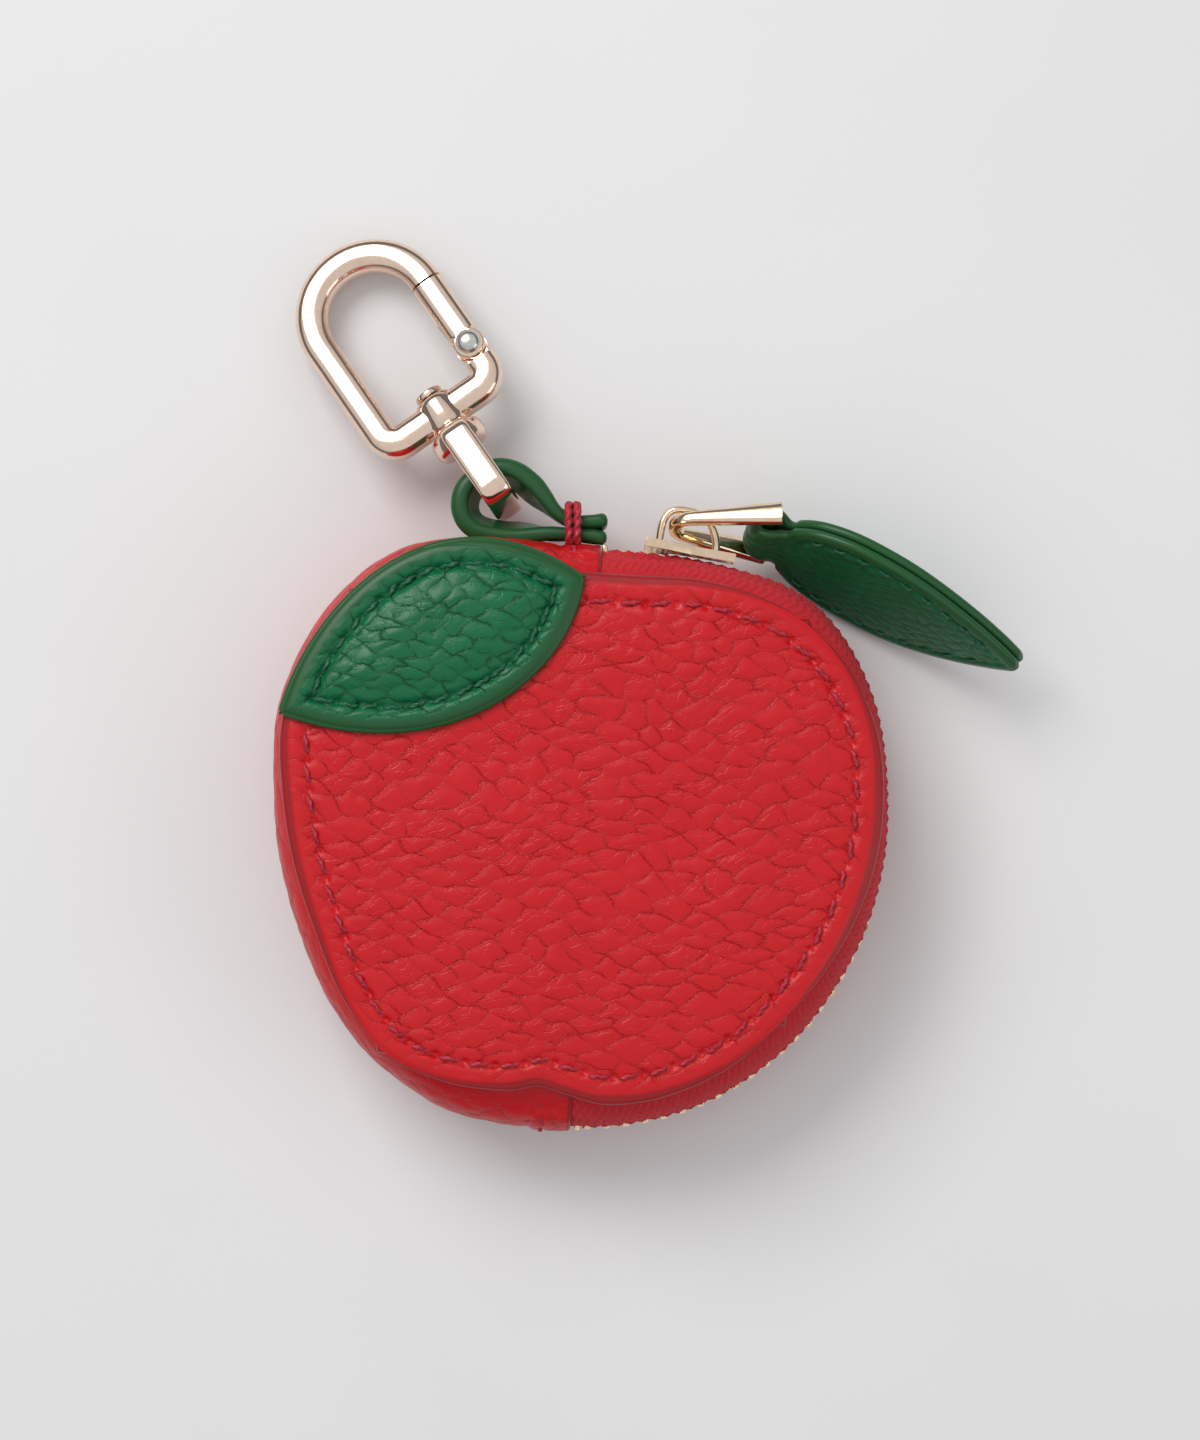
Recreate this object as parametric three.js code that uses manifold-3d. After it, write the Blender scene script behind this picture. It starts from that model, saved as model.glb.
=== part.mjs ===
// An apple-shaped leather coin purse, lying on its back, in millimetres, +Z up.
// Two apple-shaped leather panels are joined round their rims: by a leather gusset on the left, and by a
// metal zip on the right. A leather leaf is sewn to the front, a second leaf is the zip's pull, and a
// swivel clasp hangs in a leather loop at the top. The origin is on the back panel's outer face.
import * as THREE from "three";
import { mergeVertices } from "three/addons/utils/BufferGeometryUtils.js";
import Module from "manifold-3d";

const wasm = await Module();
wasm.setup();

// ---- Driving dimensions -------------------------------------------------------------------------
const purseDepth = 24; // outer face to outer face of the two panels
const panelThickness = 1.8;
const liningThickness = 0.4;
const layerGap = 0.3; // between pieces that rest on each other
const seamMargin = 5; // how far the gusset and tapes reach in under a panel's edge
const gussetThickness = 1.1;
const tapeThickness = 0.5;
const foldX = 2; // the line across the front panel where the leather folds as the mouth opens
const bandFullness = 4; // exponent of the band's section: higher is squarer

// Rim of a panel, and the outermost line of the gusset and zip at half depth: [degrees, radius].
const panelRim = [
  [90, 34.9], [79, 35.1], [68, 36.8], [57, 38.7], [46, 40.3], [34, 40.8], [21, 40.2], [8, 38.8],
  [-6, 37.5], [-22, 36.4], [-40, 35.8], [-58, 36.1], [-74, 36.2], [-87, 36.0], [-96, 34.9],
  [-103, 34.4], [-110, 36.3], [-122, 39.0], [-134, 40.9], [-147, 40.4], [-160, 39.6], [-174, 40.3],
  [-187, 41.9], [-200, 44.5], [-212, 46.0], [-224, 46.4], [-235, 45.2], [-245, 42.4], [-254, 39.0],
  [-262, 36.0],
];
const bandApex = [
  [90, 38.0], [80, 38.1], [70, 38.9], [60, 40.3], [52, 41.8], [44, 42.5], [34, 42.1], [22, 41.0],
  [8, 39.5], [-6, 38.8], [-22, 38.4], [-40, 38.3], [-55, 38.6], [-70, 39.0], [-84, 39.2], [-96, 39.6],
  [-108, 41.0], [-120, 42.0], [-134, 42.4], [-147, 42.0], [-160, 41.7], [-174, 42.2], [-188, 43.3],
  [-202, 45.6], [-214, 46.6], [-226, 46.8], [-236, 46.0], [-246, 43.2], [-256, 40.4], [-264, 38.6],
];
const rimStep = 5; // degrees between the rim's facets
const gussetEnds = [89.4, 264.3]; // degrees, anticlockwise from the top to the bottom
const hemLength = 5; // of the gusset folded back on itself at each end
const hemThickness = 0.9;

// The zip.
const zipEnds = [88.7, -95.0]; // degrees, clockwise from the top to the bottom
const toothPitch = 2.6;
const toothLength = 1.1; // along the chain
const toothHeight = 2.2; // through the chain
const toothReach = 0.9; // past the chain's middle
const toothRoot = 2.6; // from the chain's middle to the back of a tooth
const chainCord = 0.8; // the cord that a row of teeth grips
const chainClearance = 0.15;
const rowSpread = 2.1; // how far the slider's divider moves each row of teeth aside

// The slider, its bridge and its pull.
const sliderAngle = 71; // degrees, where the slider stands
const sliderRadius = 38.9; // of the circle that the slider runs on
const sliderLength = 12.4;
const sliderPlate = 0.8;
const sliderChannel = 3.0;
const sliderSink = 0.05; // the slider is straight, so it sits a little inside the chain's curve
const sliderLip = 0.7;
const tapeSlit = 2.2;
const bridgeWidth = 2.2;
const bridgeHeight = 5.2;
const bridgeWall = 0.95;
const pullLean = 24; // degrees, how far the pull's cross bars lean out from upright
const pullHeading = -16; // degrees, the mean direction of the ring and the leaf
const pullBend = 26; // degrees between the ring and the leaf
const pullDroop = 3.4; // degrees, how far the pair hangs down
const ringLength = 11.9; // between the middles of its two cross bars
const ringSeat = [-2.0, 4.75]; // the inner bar's middle, along the slider and out from the chain
const ringInnerHalf = 3.3;
const ringOuterHalf = 7.3;
const ringWall = 1.5;
const ringInnerBar = 1.5;
const ringOuterDepth = 3.2;
const ringEndBarRadius = 1.0;
const leafThickness = 3.2; // both layers of the folded leaf
const leafBack = 3.2; // from the ring's end bar to the leaf's fold
const pinClearance = 0.25;

// The leather leaf on the front.
const appliqueThickness = 1.4;
const leafTip = [-41.8, 16.3];
const leafStalk = [-1.6, 34.4];

// The strap loop and the clasp.
const strapThickness = 1.8;
const strapWidth = 7;
const threadRadius = 0.5;
const claspPivot = [-12.4, 44.8];
const claspHeading = 124.7; // degrees
const claspDroop = 12.2; // degrees, from the strap down to the surface
const eyeLength = 13.2;
const eyeBar = 1.6;
const eyeDepth = 4.1;
const eyeWindow = 10.4;
const bossRadius = 3.9;
const bossLength = 2.9;
const swivelGap = 0.5;
const collarRadius = 3.0;
const collarLength = 5.0;
const studRadius = 1.2;
const studHeadRadius = 2.0;
const studHeadHeight = 0.9;
const hookBar = 4.5; // the hook's section, across and through
const hookWidth = 21.7;
const hookCorner = 2.5; // radius at the middle of the bar
const gateJoint = 31.9; // from the pivot to the gate's end, where the hook's top arc starts
const gatePivot = 21.2;
const gateTongue = 1.8; // the tongue that the gate's two cheeks straddle
const gatePinRadius = 0.7;
const gateGap = 0.3;
const gatePinHead = 1.75;

// ---- Worked out from those ----------------------------------------------------------------------
const middle = purseDepth / 2;
const flangeMiddle = panelThickness + layerGap + gussetThickness / 2; // height of a rim seam's middle
const bandHalf = middle - flangeMiddle;
const rad = THREE.MathUtils.degToRad;

// ---- Helpers ------------------------------------------------------------------------------------
// Radius at any angle, in degrees, of a closed curve through [degrees, radius] points.
function radiusOf(points) {
  const curve = new THREE.CatmullRomCurve3(
    points.map(([d, r]) => new THREE.Vector3(r * Math.cos(rad(d)), r * Math.sin(rad(d)), 0)),
    true,
    "centripetal",
  );
  const degreesOf = (p) => THREE.MathUtils.radToDeg(Math.atan2(p.y, p.x));
  const samples = curve.getPoints(720).map((p) => [degreesOf(p), p.length()]);
  samples.pop();
  samples.sort((a, b) => a[0] - b[0]);
  samples.push([samples[0][0] + 360, samples[0][1]]);
  samples.unshift([samples.at(-2)[0] - 360, samples.at(-2)[1]]);
  return (degrees) => {
    const d = THREE.MathUtils.euclideanModulo(degrees + 180, 360) - 180;
    const i = samples.findIndex((s) => s[0] > d);
    const [a, b] = [samples[i - 1], samples[i]];
    return a[1] + ((b[1] - a[1]) * (d - a[0])) / (b[0] - a[0]);
  };
}
const rimRadius = radiusOf(panelRim);
const apexRadius = radiusOf(bandApex);

// A closed mesh from points and triangles, turned to face outwards.
function closedMesh(points, faces) {
  const volume = faces.reduce((sum, [a, b, c]) => {
    return sum + points[a].dot(new THREE.Vector3().crossVectors(points[b], points[c]));
  }, 0);
  const geometry = new THREE.BufferGeometry().setFromPoints(points);
  geometry.setIndex(faces.flatMap(([a, b, c]) => (volume > 0 ? [a, b, c] : [a, c, b])));
  return geometry;
}

// A solid through a row of sections, each a closed ring of as many Vector3 points. flat is the section
// in two dimensions, for the end caps; a looped row has none.
function loft(sections, flat, looped = false) {
  const n = sections[0].length;
  const faces = [];
  const spans = looped ? sections.length : sections.length - 1;
  for (let s = 0; s < spans; s++) {
    const [here, next] = [s * n, ((s + 1) % sections.length) * n];
    for (let i = 0; i < n; i++) {
      const j = (i + 1) % n;
      faces.push([here + i, here + j, next + j], [here + i, next + j, next + i]);
    }
  }
  if (!looped) {
    const cap = THREE.ShapeUtils.triangulateShape(flat, []);
    const last = (sections.length - 1) * n;
    cap.forEach(([a, b, c]) => {
      faces.push([c, b, a], [last + a, last + b, last + c]);
    });
    const test = new THREE.Vector3(0, 0, THREE.ShapeUtils.area(flat));
    if (test.z < 0) faces.forEach((f, i) => i >= 2 * n * spans && f.reverse());
  }
  return closedMesh(sections.flat(), faces);
}

// Between a three.js geometry and a manifold-3d solid.
function toSolid(geometry) {
  const bare = geometry.index ? geometry.toNonIndexed() : geometry.clone();
  bare.deleteAttribute("normal");
  bare.deleteAttribute("uv");
  const merged = mergeVertices(bare, 1e-4);
  return new wasm.Manifold(
    new wasm.Mesh({
      numProp: 3,
      vertProperties: merged.attributes.position.array,
      triVerts: new Uint32Array(merged.index.array),
    }),
  );
}
function toGeometry(solid) {
  const mesh = solid.getMesh();
  return new THREE.BufferGeometry()
    .setAttribute("position", new THREE.BufferAttribute(new Float32Array(mesh.vertProperties), 3))
    .setIndex(new THREE.BufferAttribute(new Uint32Array(mesh.triVerts), 1));
}
const join = (...parts) => toGeometry(parts.map(toSolid).reduce((a, b) => a.add(b)));
const cut = (part, ...tools) =>
  toGeometry(tools.map(toSolid).reduce((a, b) => a.subtract(b), toSolid(part)));
const common = (a, b) => toGeometry(toSolid(a).intersect(toSolid(b)));

// Simple solids placed by their limits or their axis.
function block(x0, x1, y0, y1, z0, z1) {
  const box = new THREE.BoxGeometry(x1 - x0, y1 - y0, z1 - z0);
  return box.translate((x0 + x1) / 2, (y0 + y1) / 2, (z0 + z1) / 2);
}
function extrude(points, z0, z1, holes = []) {
  const shape = new THREE.Shape(points.map(([x, y]) => new THREE.Vector2(x, y)));
  shape.holes = holes.map((h) => new THREE.Path(h.map(([x, y]) => new THREE.Vector2(x, y))));
  return new THREE.ExtrudeGeometry(shape, { depth: z1 - z0, bevelEnabled: false }).translate(0, 0, z0);
}
function rodZ(radius, z0, z1, x = 0, y = 0, sides = 16) {
  const rod = new THREE.CylinderGeometry(radius, radius, z1 - z0, sides);
  return rod.rotateX(Math.PI / 2).translate(x, y, (z0 + z1) / 2);
}
function rodX(radius, x0, x1, sides = 20) {
  const rod = new THREE.CylinderGeometry(radius, radius, x1 - x0, sides);
  return rod.rotateZ(Math.PI / 2).translate((x0 + x1) / 2, 0, 0);
}

// A frame of axes: its x along one direction, its z along another.
function placed(geometry, origin, xAxis, zAxis) {
  const x = xAxis.clone().normalize();
  const z = zAxis.clone().normalize();
  const y = new THREE.Vector3().crossVectors(z, x);
  return geometry.applyMatrix4(new THREE.Matrix4().makeBasis(x, y, z).setPosition(origin));
}

// ---- Materials and the group --------------------------------------------------------------------
const finish = (color, roughness, metalness = 0) =>
  new THREE.MeshStandardMaterial({ color, roughness, metalness });
const redLeather = finish(0xc4161f, 0.5);
const greenLeather = finish(0x10643a, 0.5);
const redTape = finish(0xc41a2a, 0.85);
const lining = finish(0x8e1820, 0.9);
const gold = finish(0xe8c39a, 0.15, 1);
const steel = finish(0xc9c4bd, 0.2, 1);
const purse = new THREE.Group();

function add(name, geometry, material, group = purse) {
  const mesh = new THREE.Mesh(geometry, material);
  mesh.name = name;
  group.add(mesh);
}

// A group placed by its origin, its x axis and its z axis.
function addGroup(name, origin, xAxis, zAxis) {
  const group = new THREE.Group();
  const yAxis = new THREE.Vector3().crossVectors(zAxis, xAxis);
  group.name = name;
  group.position.copy(origin);
  group.quaternion.setFromRotationMatrix(new THREE.Matrix4().makeBasis(xAxis, yAxis, zAxis));
  purse.add(group);
  return group;
}

// ---- Panels and their linings -------------------------------------------------------------------
// An apple outline, grown or shrunk from the rim.
function appleOutline(grow) {
  const points = [];
  for (let d = 0; d < 360; d += rimStep) {
    const r = rimRadius(d) + grow;
    points.push([r * Math.cos(rad(d)), r * Math.sin(rad(d))]);
  }
  return points;
}
const beyond = 60; // outside everything, for cutting
const spineSide = () => block(-beyond, foldX - layerGap / 2, -beyond, beyond, -1, beyond);
const flapSide = () => block(foldX + layerGap / 2, beyond, -beyond, beyond, -1, beyond);
const liningInset = 3.4;
const liningBase = flangeMiddle + gussetThickness / 2 + layerGap;

const frontPanel = extrude(appleOutline(0), purseDepth - panelThickness, purseDepth);
const frontLining = extrude(
  appleOutline(-liningInset),
  purseDepth - liningBase - liningThickness,
  purseDepth - liningBase,
);
add("back_panel", extrude(appleOutline(0), 0, panelThickness), redLeather);
add("back_lining", extrude(appleOutline(-liningInset), liningBase, liningBase + liningThickness), lining);
add("front_panel_spine", common(frontPanel, spineSide()), redLeather);
add("front_panel_flap", common(frontPanel, flapSide()), redLeather);
add("front_lining_spine", common(frontLining, spineSide()), lining);
add("front_lining_flap", common(frontLining, flapSide()), lining);

// ---- The band round the sides: gusset and zip tapes ---------------------------------------------
// How far in from its outermost line the band stands, at a height off the middle: a squared C.
function bandRadius(degrees, height) {
  const bend = rimRadius(degrees) - 1;
  const apex = apexRadius(degrees);
  return apex - (apex - bend) * Math.abs(height / bandHalf) ** bandFullness;
}

// The section's middle line from one height to another, with the seam margin at an end that reaches
// the rim. Points are [radius, height].
function bandLine(degrees, from, to, steps) {
  const line = [];
  const seam = rimRadius(degrees) - seamMargin;
  if (Math.abs(from) === bandHalf) line.push([seam, from]);
  for (let i = 0; i <= steps; i++) {
    const h = from + ((to - from) * i) / steps;
    line.push([bandRadius(degrees, h), h]);
  }
  if (Math.abs(to) === bandHalf) line.push([seam, to]);
  return line;
}

// A line thickened to both sides, as a closed ring of [radius, height]. inner(height) is the distance
// to the inner face.
function thicken(line, inner, outer) {
  const sides = line.map((p, i) => {
    const a = line[Math.max(i - 1, 0)];
    const b = line[Math.min(i + 1, line.length - 1)];
    const size = Math.hypot(b[0] - a[0], b[1] - a[1]);
    const normal = [(b[1] - a[1]) / size, -(b[0] - a[0]) / size];
    return [inner(p[1]), outer].map((t) => [p[0] + normal[0] * t, p[1] + normal[1] * t]);
  });
  return [...sides.map((s) => s[1]), ...sides.map((s) => s[0]).reverse()];
}

// A strip of the band: angles along it, its middle line at an angle, and its two faces.
function bandSolid(angles, lineAt, innerAt, outer) {
  const rings = angles.map((d) => thicken(lineAt(d), innerAt(d), outer));
  const sections = rings.map((ring, k) => {
    const turn = rad(angles[k]);
    return ring.map(([r, h]) => new THREE.Vector3(r * Math.cos(turn), r * Math.sin(turn), middle + h));
  });
  return loft(sections, rings[0].map(([r, h]) => new THREE.Vector2(r, h)));
}
const steps = (from, to, count) =>
  Array.from({ length: count + 1 }, (_, i) => from + ((to - from) * i) / count);

// The gusset's last stretch at each end is folded back on itself and is thicker.
const hemAngle = THREE.MathUtils.radToDeg(hemLength / apexRadius(gussetEnds[0]));
const [gussetFrom, gussetTo] = gussetEnds;
const gussetAngles = [
  gussetFrom,
  gussetFrom + hemAngle,
  ...steps(gussetFrom + hemAngle + 1, gussetTo - hemAngle - 1, 30),
  gussetTo - hemAngle,
  gussetTo,
];
const isHem = (d) => d < gussetFrom + hemAngle + 0.5 || d > gussetTo - hemAngle - 0.5;
const half = gussetThickness / 2;
const gussetInside = (d) => (height) =>
  -half - (isHem(d) && Math.abs(height) < bandHalf * 0.8 ? hemThickness : 0);
add(
  "side_gusset",
  bandSolid(gussetAngles, (d) => bandLine(d, -bandHalf, bandHalf, 8), gussetInside, half),
  redLeather,
);
const gussetLiningHalf = bandHalf - liningThickness - layerGap * 2 - half;
const liningFace = -half - layerGap - 0.6;
add(
  "gusset_lining",
  bandSolid(
    steps(gussetFrom + hemAngle + 2, gussetTo - hemAngle - 2, 26),
    (d) => bandLine(d, -gussetLiningHalf, gussetLiningHalf, 5),
    () => () => liningFace - liningThickness,
    liningFace,
  ),
  lining,
);

// How far the slider's divider has moved the rows apart at an angle.
const onSlider = (t) => sliderAngle - THREE.MathUtils.radToDeg(t / sliderRadius);
function spread(degrees) {
  const parted = THREE.MathUtils.smoothstep(degrees, onSlider(1), onSlider(-4.6));
  const closing = THREE.MathUtils.smoothstep(degrees, onSlider(-7), zipEnds[0]);
  return rowSpread * parted * (1 - 0.35 * closing);
}
// The widest that the row is spread within a tooth's length of an angle.
const widest = (d) => Math.max(spread(d - 0.9), spread(d), spread(d + 0.9));
const tapeStart = (d) => toothRoot + chainClearance + widest(d);
const tapeAngles = [...steps(zipEnds[0], 58, 26), ...steps(54, zipEnds[1], 34)];
for (const [name, side] of [["back", -1], ["front", 1]]) {
  const line = (d) => {
    const made = bandLine(d, side * bandHalf, side * tapeStart(d), 5);
    return side < 0 ? made : made.reverse();
  };
  const inner = () => () => -tapeThickness / 2;
  add(`zip_tape_${name}`, bandSolid(tapeAngles, line, inner, tapeThickness / 2), redTape);
}

// ---- Zip teeth, each row on the cord that it grips ----------------------------------------------
const onPath = (d, height, out = 0) => {
  const r = bandRadius(d, height) + out;
  return new THREE.Vector3(r * Math.cos(rad(d)), r * Math.sin(rad(d)), middle + height);
};
// Angles at equal distances along the chain.
function evenly(from, to, pitch) {
  const found = [];
  let walked = 0;
  let next = pitch / 2;
  const tiny = -0.05;
  for (let d = from; d > to; d += tiny) {
    walked += onPath(d, 0).distanceTo(onPath(d + tiny, 0));
    if (walked >= next) {
      found.push(d);
      next += pitch;
    }
  }
  return found;
}
const halfPitches = evenly(zipEnds[0] - 2.5, zipEnds[1] + 3.5, toothPitch / 2);
for (const [name, side] of [["back", -1], ["front", 1]]) {
  const cordHeight = (d) => side * (toothRoot - chainCord - 0.1 + spread(d));
  const cordRing = (d) =>
    [[-1, -1], [1, -1], [1, 1], [-1, 1]].map(([a, b]) =>
      onPath(d, cordHeight(d) + (b * chainCord) / 2, (a * chainCord) / 2),
    );
  const cordAngles = steps(zipEnds[0] - 1.5, zipEnds[1] + 2.5, 56);
  const square = [[-1, -1], [1, -1], [1, 1], [-1, 1]].map(([a, b]) => new THREE.Vector2(a, b));
  const cord = loft(cordAngles.map(cordRing), square);
  const teeth = halfPitches
    .filter((_, i) => i % 2 === (side < 0 ? 0 : 1))
    .map((d) => {
      const along = onPath(d - 0.5, 0).sub(onPath(d + 0.5, 0));
      const low = side < 0 ? -toothRoot : -toothReach;
      const high = side < 0 ? toothReach : toothRoot;
      const tooth = block(
        -toothLength / 2, toothLength / 2, -toothHeight / 2, toothHeight / 2, low, high,
      );
      const at = onPath(d, 0).add(new THREE.Vector3(0, 0, side * spread(d)));
      return placed(tooth, at, along, new THREE.Vector3(0, 0, 1));
    });
  add(`zip_teeth_${name}`, join(cord, ...teeth), gold);
}

// Stops at the ends of the chain.
function stopAt(degrees, low, high) {
  const along = onPath(degrees - 0.5, 0).sub(onPath(degrees + 0.5, 0));
  const part = block(-0.35, 0.35, -toothHeight / 2, toothHeight / 2, low, high);
  return placed(part, onPath(degrees, 0), along, new THREE.Vector3(0, 0, 1));
}
const topStop = zipEnds[0] - 0.7;
const stopSpread = spread(topStop);
add("zip_top_stop_back", stopAt(topStop, -toothRoot - stopSpread, -0.3 - stopSpread / 2), gold);
add("zip_top_stop_front", stopAt(topStop, 0.3 + stopSpread / 2, toothRoot + stopSpread), gold);
add("zip_bottom_stop", stopAt(zipEnds[1] + 1.4, -toothRoot, toothRoot), gold);

// ---- The leaf on the front ----------------------------------------------------------------------
const upperEdge = new THREE.CubicBezierCurve(
  new THREE.Vector2(...leafTip),
  new THREE.Vector2(-37.5, 31.5),
  new THREE.Vector2(-21, 48),
  new THREE.Vector2(...leafStalk),
);
const lowerEdge = new THREE.CubicBezierCurve(
  new THREE.Vector2(...leafStalk),
  new THREE.Vector2(-3.5, 19.5),
  new THREE.Vector2(-21, 8.5),
  new THREE.Vector2(...leafTip),
);
const leafOutline = [...upperEdge.getPoints(16).slice(0, -1), ...lowerEdge.getPoints(16).slice(0, -1)];
add(
  "leaf_applique",
  extrude(leafOutline.map((p) => [p.x, p.y]), purseDepth + 0.1, purseDepth + 0.1 + appliqueThickness),
  greenLeather,
);

// ---- The strap loop and the thread that binds it ------------------------------------------------
const strapLine = new THREE.CatmullRomCurve3(
  [
    [1.0, 42.2], [-3.7, 42.6], [-7.4, 45.4], [-10.8, 48.2], [-13.8, 48.6], [-16.8, 46.6], [-17.4, 44.0],
    [-16.1, 42.0], [-13.0, 41.1], [-8.9, 40.9], [-3.7, 40.5], [0.9, 40.2],
  ].map(([x, y]) => new THREE.Vector3(x, y, 0)),
);
function strapSides(count) {
  const points = strapLine.getSpacedPoints(count);
  const side = (t) =>
    points.map((p, i) => {
      const along = strapLine.getTangentAt(i / count);
      return [p.x - along.y * t, p.y + along.x * t];
    });
  return [...side(strapThickness / 2), ...side(-strapThickness / 2).reverse()];
}
add(
  "strap_loop",
  extrude(strapSides(44), middle - strapWidth / 2, middle + strapWidth / 2),
  greenLeather,
);
const neckX = -3.0;
const threadTop = 42.5 + strapThickness / 2 + threadRadius + 0.4;
const threadFoot = 39.6;
const threadSide = strapWidth / 2 + threadRadius + 0.2;
const threadOuter = [
  [-threadSide - threadRadius, threadFoot], [threadSide + threadRadius, threadFoot],
  [threadSide + threadRadius, threadTop], [threadSide - 0.5, threadTop + threadRadius],
  [-threadSide + 0.5, threadTop + threadRadius], [-threadSide - threadRadius, threadTop],
];
const threadInner = [
  [-threadSide + threadRadius, threadFoot - 1], [threadSide - threadRadius, threadFoot - 1],
  [threadSide - threadRadius, threadTop - threadRadius],
  [-threadSide + threadRadius, threadTop - threadRadius],
];
const staple = cut(extrude(threadOuter, -1, 1), extrude(threadInner, -2, 2));
const up = new THREE.Vector3(0, 0, 1);
const neck = new THREE.Vector3(neckX, 0, middle);
const backwards = new THREE.Vector3(-1, 0, 0);
add("strap_thread", placed(staple, neck, up, backwards), redTape);

// ---- The slider ---------------------------------------------------------------------------------
// Drawn flat: x along the slider to its tail, y out from the chain, z across. The nose parts the rows.
const tangent = onPath(sliderAngle - 4, 0).sub(onPath(sliderAngle + 4, 0)).normalize();
const outward = new THREE.Vector3().crossVectors(up, tangent);
const sliderMiddle = onPath(sliderAngle, 0);
const slider = addGroup("slider", sliderMiddle, tangent, up);
// A plan in x and z, given a thickness along y. makeBasis turns it without mirroring.
function slab(plan, y0, y1) {
  const turn = new THREE.Matrix4().makeBasis(
    new THREE.Vector3(1, 0, 0), new THREE.Vector3(0, 0, 1), new THREE.Vector3(0, -1, 0),
  );
  return extrude(plan, -y1, -y0).applyMatrix4(turn);
}
const lipInner = (t) => toothRoot + 0.35 + widest(onSlider(t));
const sliderHalf = sliderLength / 2;
const sliderStations = steps(-sliderHalf, sliderHalf, 10);
const edge = (grow, sign) => sliderStations.map((t) => [t, sign * (lipInner(t) + grow)]);
const plan = [...edge(sliderLip, -1), ...edge(sliderLip, 1).reverse()];
const lipPlan = (sign) => [...edge(0, sign), ...edge(sliderLip, sign).reverse()];
const channel = sliderChannel / 2;
const slit = tapeSlit / 2;
const plateTop = channel + sliderPlate - sliderSink;
const divider = [[-6.1, -0.75], [-4.4, -0.75], [-2.8, -0.2], [-2.8, 0.2], [-4.4, 0.75], [-6.1, 0.75]];
const sink = (y) => y - sliderSink;
const sliderBody = join(
  slab(plan, sink(channel), sink(channel + sliderPlate)),
  slab(plan, sink(-channel - sliderPlate), sink(-channel)),
  ...[-1, 1].flatMap((sign) => [
    slab(lipPlan(sign), sink(slit), sink(channel + 0.1)),
    slab(lipPlan(sign), sink(-channel - 0.1), sink(-slit)),
  ]),
  slab(divider, sink(-channel - 0.1), sink(channel + 0.1)),
);
add("slider_body", sliderBody, gold, slider);

// The bridge: an arch along the slider, on two feet that stand just clear of the plate.
const foot = plateTop + 0.05;
const archOuter = [
  [-4.9, foot], [-4.9, foot + 2.6], [-4.0, foot + bridgeHeight - 0.8], [-2.6, foot + bridgeHeight],
  [0.4, foot + bridgeHeight - 0.1], [2.4, foot + bridgeHeight - 1.2], [3.6, foot + 2.0], [3.9, foot],
];
const archInner = [
  [-4.9 + bridgeWall, foot - 1], [-4.9 + bridgeWall, foot + 2.5],
  [-3.3, foot + bridgeHeight - bridgeWall - 0.4],
  [-2.3, foot + bridgeHeight - bridgeWall], [0.1, foot + bridgeHeight - bridgeWall - 0.05],
  [1.7, foot + bridgeHeight - bridgeWall - 1], [2.7, foot + 1.7], [2.9, foot - 1],
];
const bridge = cut(
  extrude(archOuter, -bridgeWidth / 2, bridgeWidth / 2),
  extrude(archInner, -bridgeWidth, bridgeWidth),
);
add("slider_bridge", bridge, gold, slider);

// ---- The pull: a ring in the bridge, and a folded leather leaf on the ring's end bar ------------
const heading = new THREE.Vector3(Math.cos(rad(pullHeading)), Math.sin(rad(pullHeading)), 0);
const headingLeft = new THREE.Vector3(-Math.sin(rad(pullHeading)), Math.cos(rad(pullHeading)), 0);
const barAxis = headingLeft.clone().multiplyScalar(Math.sin(rad(pullLean)));
barAxis.addScaledVector(up, Math.cos(rad(pullLean)));
barAxis.applyAxisAngle(headingLeft, rad(pullDroop));
const level = heading.clone().applyAxisAngle(headingLeft, rad(pullDroop));
const ringAxis = level.clone().applyAxisAngle(barAxis, rad(pullBend / 2));
const leafAxis = level.clone().applyAxisAngle(barAxis, -rad(pullBend / 2));
const ringSeatPoint = sliderMiddle.clone().addScaledVector(tangent, ringSeat[0]);
ringSeatPoint.addScaledVector(outward, ringSeat[1]);
const ringEndPoint = ringSeatPoint.clone().addScaledVector(ringAxis, ringLength);

const ringNear = -ringInnerBar / 2;
const ringFar = ringLength + ringEndBarRadius + 0.2;
const ringOuter = [
  [ringNear, -ringInnerHalf], [ringFar, -ringOuterHalf],
  [ringFar, ringOuterHalf], [ringNear, ringInnerHalf],
];
const ringHole = [
  [ringNear + ringInnerBar, -ringInnerHalf + ringWall], [ringFar + 1, -ringOuterHalf + ringWall],
  [ringFar + 1, ringOuterHalf - ringWall], [ringNear + ringInnerBar, ringInnerHalf - ringWall],
];
const ringArms = cut(
  slab(ringOuter, -ringOuterDepth / 2, ringOuterDepth / 2),
  slab(ringHole, -ringOuterDepth, ringOuterDepth),
);
ringArms.attributes.position.array.forEach((x, i, all) => {
  if (i % 3 === 0) {
    const share = THREE.MathUtils.clamp((x - ringNear) / (ringFar - ringNear), 0, 1);
    all[i + 1] *= (ringInnerBar + (ringOuterDepth - ringInnerBar) * share) / ringOuterDepth;
  }
});
const endBar = rodZ(ringEndBarRadius, -ringOuterHalf + 0.4, ringOuterHalf - 0.4, ringLength, 0);
const pull = addGroup("pull", ringSeatPoint, ringAxis, barAxis);
add("pull_ring", join(ringArms, endBar), gold, pull);

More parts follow.
